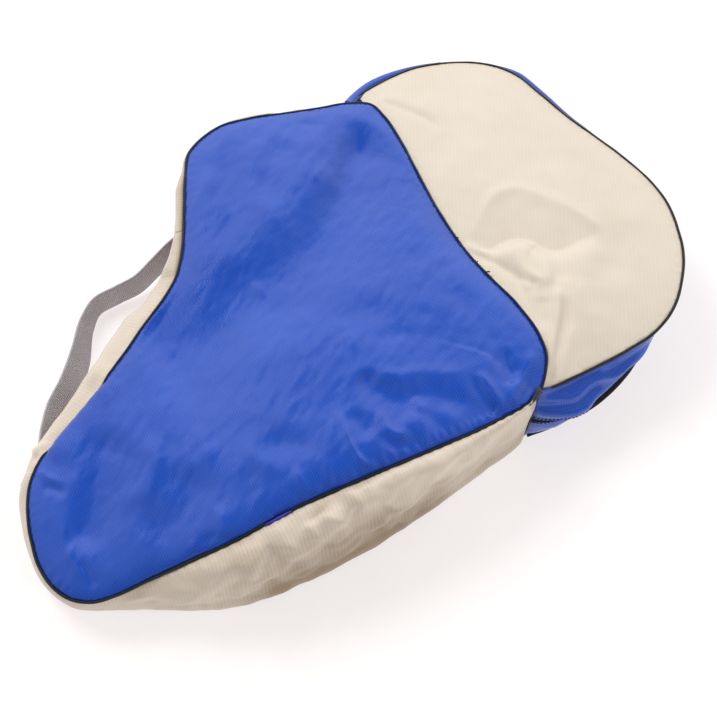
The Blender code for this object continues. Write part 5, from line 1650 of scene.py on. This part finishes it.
def sewn_end(name, node, t0, t1, z0, z1):
    """End of the webbing on the gusset, with a stitched box and cross."""
    t = np.linspace(t0, t1, 14)
    p = boot_side(t, 60)
    rows = rows_between(p, z1, z0, 12)
    flip = out_is_flip(rows, (-60, 60))
    nrm = grid_normals(rows) * (-1 if flip else 1)
    lift = np.full(rows.shape[:2], 0.7)
    q = rows + nrm * lift[..., None]
    r, c = q.shape[:2]
    along = np.concatenate([[0], np.cumsum(np.linalg.norm(np.diff(q.mean(1), axis=0), axis=1))])
    across = np.linspace(-12.5, 12.5, c)
    uv = np.stack(np.broadcast_arrays(along[:, None], across[None]), -1).reshape(-1, 2) * 0.001
    obj = mesh_object(name, place(q.reshape(-1, 3)), grid_faces(r, c, flip=flip), WEBBING, uv)
    solidify(obj, 1.6, 1.0)
    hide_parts(node)
    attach(obj, "bag")
    top = q + nrm * 1.6

    def at(u, v):
        i, j = u * (r - 1), v * (c - 1)
        i0, j0 = min(int(i), r - 2), min(int(j), c - 2)
        a, b = i - i0, j - j0
        return (top[i0, j0] * (1 - a) * (1 - b) + top[i0 + 1, j0] * a * (1 - b) + top[i0, j0 + 1] * (1 - a) * b + top[i0 + 1, j0 + 1] * a * b,
                nrm[i0, j0])

    lines = []
    for (u0, v0), (u1, v1) in (((.12, .14), (.88, .14)), ((.88, .14), (.88, .86)), ((.88, .86), (.12, .86)), ((.12, .86), (.12, .14)),
                               ((.12, .14), (.88, .86)), ((.12, .86), (.88, .14))):
        pts = [at(u0 + (u1 - u0) * k, v0 + (v1 - v0) * k) for k in np.linspace(0, 1, 14)]
        lines.append((np.array([a for a, _ in pts]), np.array([b for _, b in pts])))
    st = thread(name + "_stitches", lines, 2.6, 2.1, 0.36, THREAD_GREY)
    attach(st, "bag")
    return obj


def boot_t_near(x, y):
    t = np.linspace(0, N_BOOT, 3000)
    return float(t[((boot_waist(t)[:, :2] - [x, y]) ** 2).sum(1).argmin()])


sewn_end("handle_sewn_toe", "handle_end_toe", boot_t_near(-262, 44), boot_t_near(-284, 22), 5.0, 25.0)
sewn_end("handle_sewn_collar", "handle_end_collar", boot_t_near(-58, 207), boot_t_near(-72, 190), 10.0, 34.0)

# ------------------------------------------------------------------ hang loop
top_box, low_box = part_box("collar_hang_loop")[1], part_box("collar_hang_loop")[0]
a = math.radians(LOOP_ANGLE)
loop_top = np.array([41.9752, 236.5084, 83.2])
n_loop = np.array([math.sin(math.atan2(0.3584, 0.9336)), 0.9336, 0.0])
n_loop = unit(np.array([0.3584, 0.9336, 0.0]))
along_loop = np.array([0.9336, -0.3584, 0.0])
u = np.linspace(0, 1, 44)
out_side = np.where(u < 0.5, 1, -1)
prof = []
for x in np.linspace(0, 1, 15):
    prof.append((0.95, -20.0 * x))
for x in np.linspace(0, math.pi, 11)[1:-1]:
    prof.append((0.95 * math.cos(x), -20.0 - 0.95 * math.sin(x)))
for x in np.linspace(1, 0, 15):
    prof.append((-0.95, -20.0 * x))
loop_path = np.array([loop_top + n_loop * o + np.array([0, 0, h - 0.4]) for o, h in prof])
d = unit(np.gradient(loop_path, axis=0))
loop = strap("hang_loop_webbing", loop_path, unit(np.cross(np.tile(along_loop, (len(d), 1)), d)), 10.0, 1.1)
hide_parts("collar_hang_loop")
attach(loop, "hang_loop")

# ------------------------------------------------------------------ stitches beside the zips
def hem_line(q, row, nrm_flip):
    p = q[:, row]
    n = grid_normals(q) * (-1 if nrm_flip else 1)
    return p + n[:, row] * 0.15, n[:, row]


st = thread("mouth_stitches_upper", [hem_line(mu_q, -2, flip_m)], 3.2, 2.5, 0.32, THREAD_BEIGE)
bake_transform(st)
st = thread("mouth_stitches_lower", [hem_line(ml_q, 1, flip_m)], 3.2, 2.5, 0.32, THREAD_BEIGE)
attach(st, "bag")
st = thread("pocket_stitches_upper", [hem_line(qu_q, -2, flip_q)], 3.2, 2.5, 0.32, THREAD_DARK)
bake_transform(st)
st = thread("pocket_stitches_lower", [hem_line(ql_q, 1, flip_q)], 3.2, 2.5, 0.32, THREAD_DARK)
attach(st, "bag")

# ------------------------------------------------------------------ small details
# a length of the piping's violet core that shows beside the sole, and small curls of dark thread at four spots where
# the seams look dark
core_t = np.linspace(41.52, 41.98, 14)
core = boot_pipe(core_t) + outward(boot_upper, core_t) * 1.0 + np.array([0, 0, 1.0])
v, f, uv = sweep(core, ring(0.85, 8), scale=np.sin(np.linspace(0.15, math.pi - 0.15, 14)) ** 0.4)
violet = mesh_object("piping_core_violet", place(v), f, thread_material("violet_thread", srgb(44, 40, 150), srgb(70, 66, 190)))
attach(violet, "bag")
verts, faces = [], []
for k, (bx, by, bz, size) in enumerate(((457, 239, 93, 2.2), (476.5, 261.5, 94, 1.7), (488.5, 272.5, 95, 1.9),
                                        (233.5, 543.5, 78, 1.8))):
    u = np.linspace(0, 1, 14)
    curl = np.stack([np.sin(5.2 * u + k), np.cos(3.9 * u + 2 * k), 0.5 + 0.4 * np.sin(4 * u + k)], -1) * size * (0.4 + 0.5 * u[:, None])
    v, f, _ = sweep(under_pixel(bx, by, bz) + curl, ring(0.42, 6), ref=np.tile([0.3, 0.2, 0.93], (14, 1)))
    base = len(verts)
    verts.extend(v)
    faces.extend(tuple(j + base for j in q) for q in f)
specks = mesh_object("seam_thread_ends", place(np.array(verts)), faces, THREAD_DARK)
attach(specks, "bag")

# ------------------------------------------------------------------ studio
floor_mat = Shader("pale_studio_floor")
co = floor_mat.node("ShaderNodeTexCoord").outputs["Object"]
grain = floor_mat.noise(co, 40.0, 4.0, 0.6)
floor_mat.set(Base_Color=floor_mat.mix(floor_mat.span(grain, 0.3, 0.7), (0.35, 0.345, 0.345, 1), (0.37, 0.365, 0.365, 1)),
              Roughness=floor_mat.span(grain, 0.3, 0.7, 0.7, 0.8))
floor_mat.bsdf.inputs["Specular IOR Level"].default_value = 0.1
# the table is an opal sheet lit from below
floor_mat.bsdf.inputs["Emission Color"].default_value = (1.0, 0.955, 0.95, 1)
floor_mat.bsdf.inputs["Emission Strength"].default_value = 0.68
bm = bmesh.new()
bmesh.ops.create_grid(bm, x_segments=4, y_segments=4, size=6.0)
me = bpy.data.meshes.new("studio_floor")
bm.to_mesh(me)
bm.free()
me.materials.append(floor_mat.mat)
floor = bpy.data.objects.new("studio_floor", me)
SCENE.collection.objects.link(floor)

world = bpy.data.worlds.new("studio")
SCENE.world = world
world.use_nodes = True
sky = world.node_tree
shade = sky.nodes.new("ShaderNodeTexCoord")
split = sky.nodes.new("ShaderNodeSeparateXYZ")
sky.links.new(shade.outputs["Generated"], split.inputs[0])


def sky_math(kind, x, y):
    n = sky.nodes.new("ShaderNodeMath")
    n.operation = kind
    for k, v in enumerate((x, y)):
        if isinstance(v, (int, float)):
            n.inputs[k].default_value = v
        else:
            sky.links.new(v, n.inputs[k])
    return n.outputs[0]


def sky_span(x, a, b, lo, hi):
    n = sky.nodes.new("ShaderNodeMapRange")
    n.interpolation_type = "SMOOTHSTEP"
    for name, v in (("From Min", a), ("From Max", b), ("To Min", lo), ("To Max", hi)):
        n.inputs[name].default_value = v
    sky.links.new(x, n.inputs["Value"])
    return n.outputs["Result"]


# a white tent round the table: bright walls, dark where its top is open and on the side that is left open
up = split.outputs["Z"]
lit = AZ - math.radians(8)
back = sky_math("ADD", sky_math("MULTIPLY", split.outputs["X"], math.sin(lit)), sky_math("MULTIPLY", split.outputs["Y"], math.cos(lit)))
walls = sky_math("MULTIPLY", sky_span(up, 0.84, 0.97, 1.0, 0.0), sky_span(up, -0.05, 0.25, 0.4, 1.0))
walls = sky_math("MULTIPLY", walls, sky_span(back, -0.55, 0.0, 0.26, 1.0))
walls = sky_math("MULTIPLY", walls, sky_span(back, 0.15, 0.75, 0.62, 1.42))
sky.nodes["Background"].inputs["Color"].default_value = (1.0, 0.99, 0.985, 1)
sky.links.new(sky_math("ADD", sky_math("MULTIPLY", walls, 1.10), 0.07), sky.nodes["Background"].inputs["Strength"])


def area_light(name, at, aim, size, power, colour=(1, 1, 1)):
    data = bpy.data.lights.new(name, "AREA")
    data.shape = "RECTANGLE"
    data.size, data.size_y = size
    data.energy = power
    data.color = colour
    obj = bpy.data.objects.new(name, data)
    obj.location = at
    obj.rotation_mode = "QUATERNION"
    obj.rotation_quaternion = (Vector(aim) - Vector(at)).to_track_quat("-Z", "Y")
    SCENE.collection.objects.link(obj)
    return obj


# the key is filtered so that it gives no gloss; the gloss is the tent's
key = area_light("key", (-0.75, 1.45, 2.5), (0, 0, 0.05), (1.1, 1.1), 42.5, (1.0, 0.99, 0.975))
key.visible_glossy = False
# A weak fill from the front right lifts the sole, the toe and the pocket's low side.
fill = area_light("fill", (0.75, -1.75, 1.15), (0, -0.05, 0.05), (1.2, 1.2), 17.0, (1.0, 0.985, 0.965))
fill.visible_glossy = False

cam = bpy.data.cameras.new("photo_camera")
cam.lens, cam.sensor_width = LENS, SENSOR
camera = bpy.data.objects.new("photo_camera", cam)
camera.location = place(EYE)
camera.rotation_mode = "QUATERNION"
camera.rotation_quaternion = Vector(LOOK).to_track_quat("-Z", "Y")
SCENE.collection.objects.link(camera)
SCENE.camera = camera
SCENE.view_settings.view_transform = "Standard"
SCENE.view_settings.look = "None"

for name, flat, area in DECLARED:
    print("sheet", name, flat, None if area is None else round(area, 4))
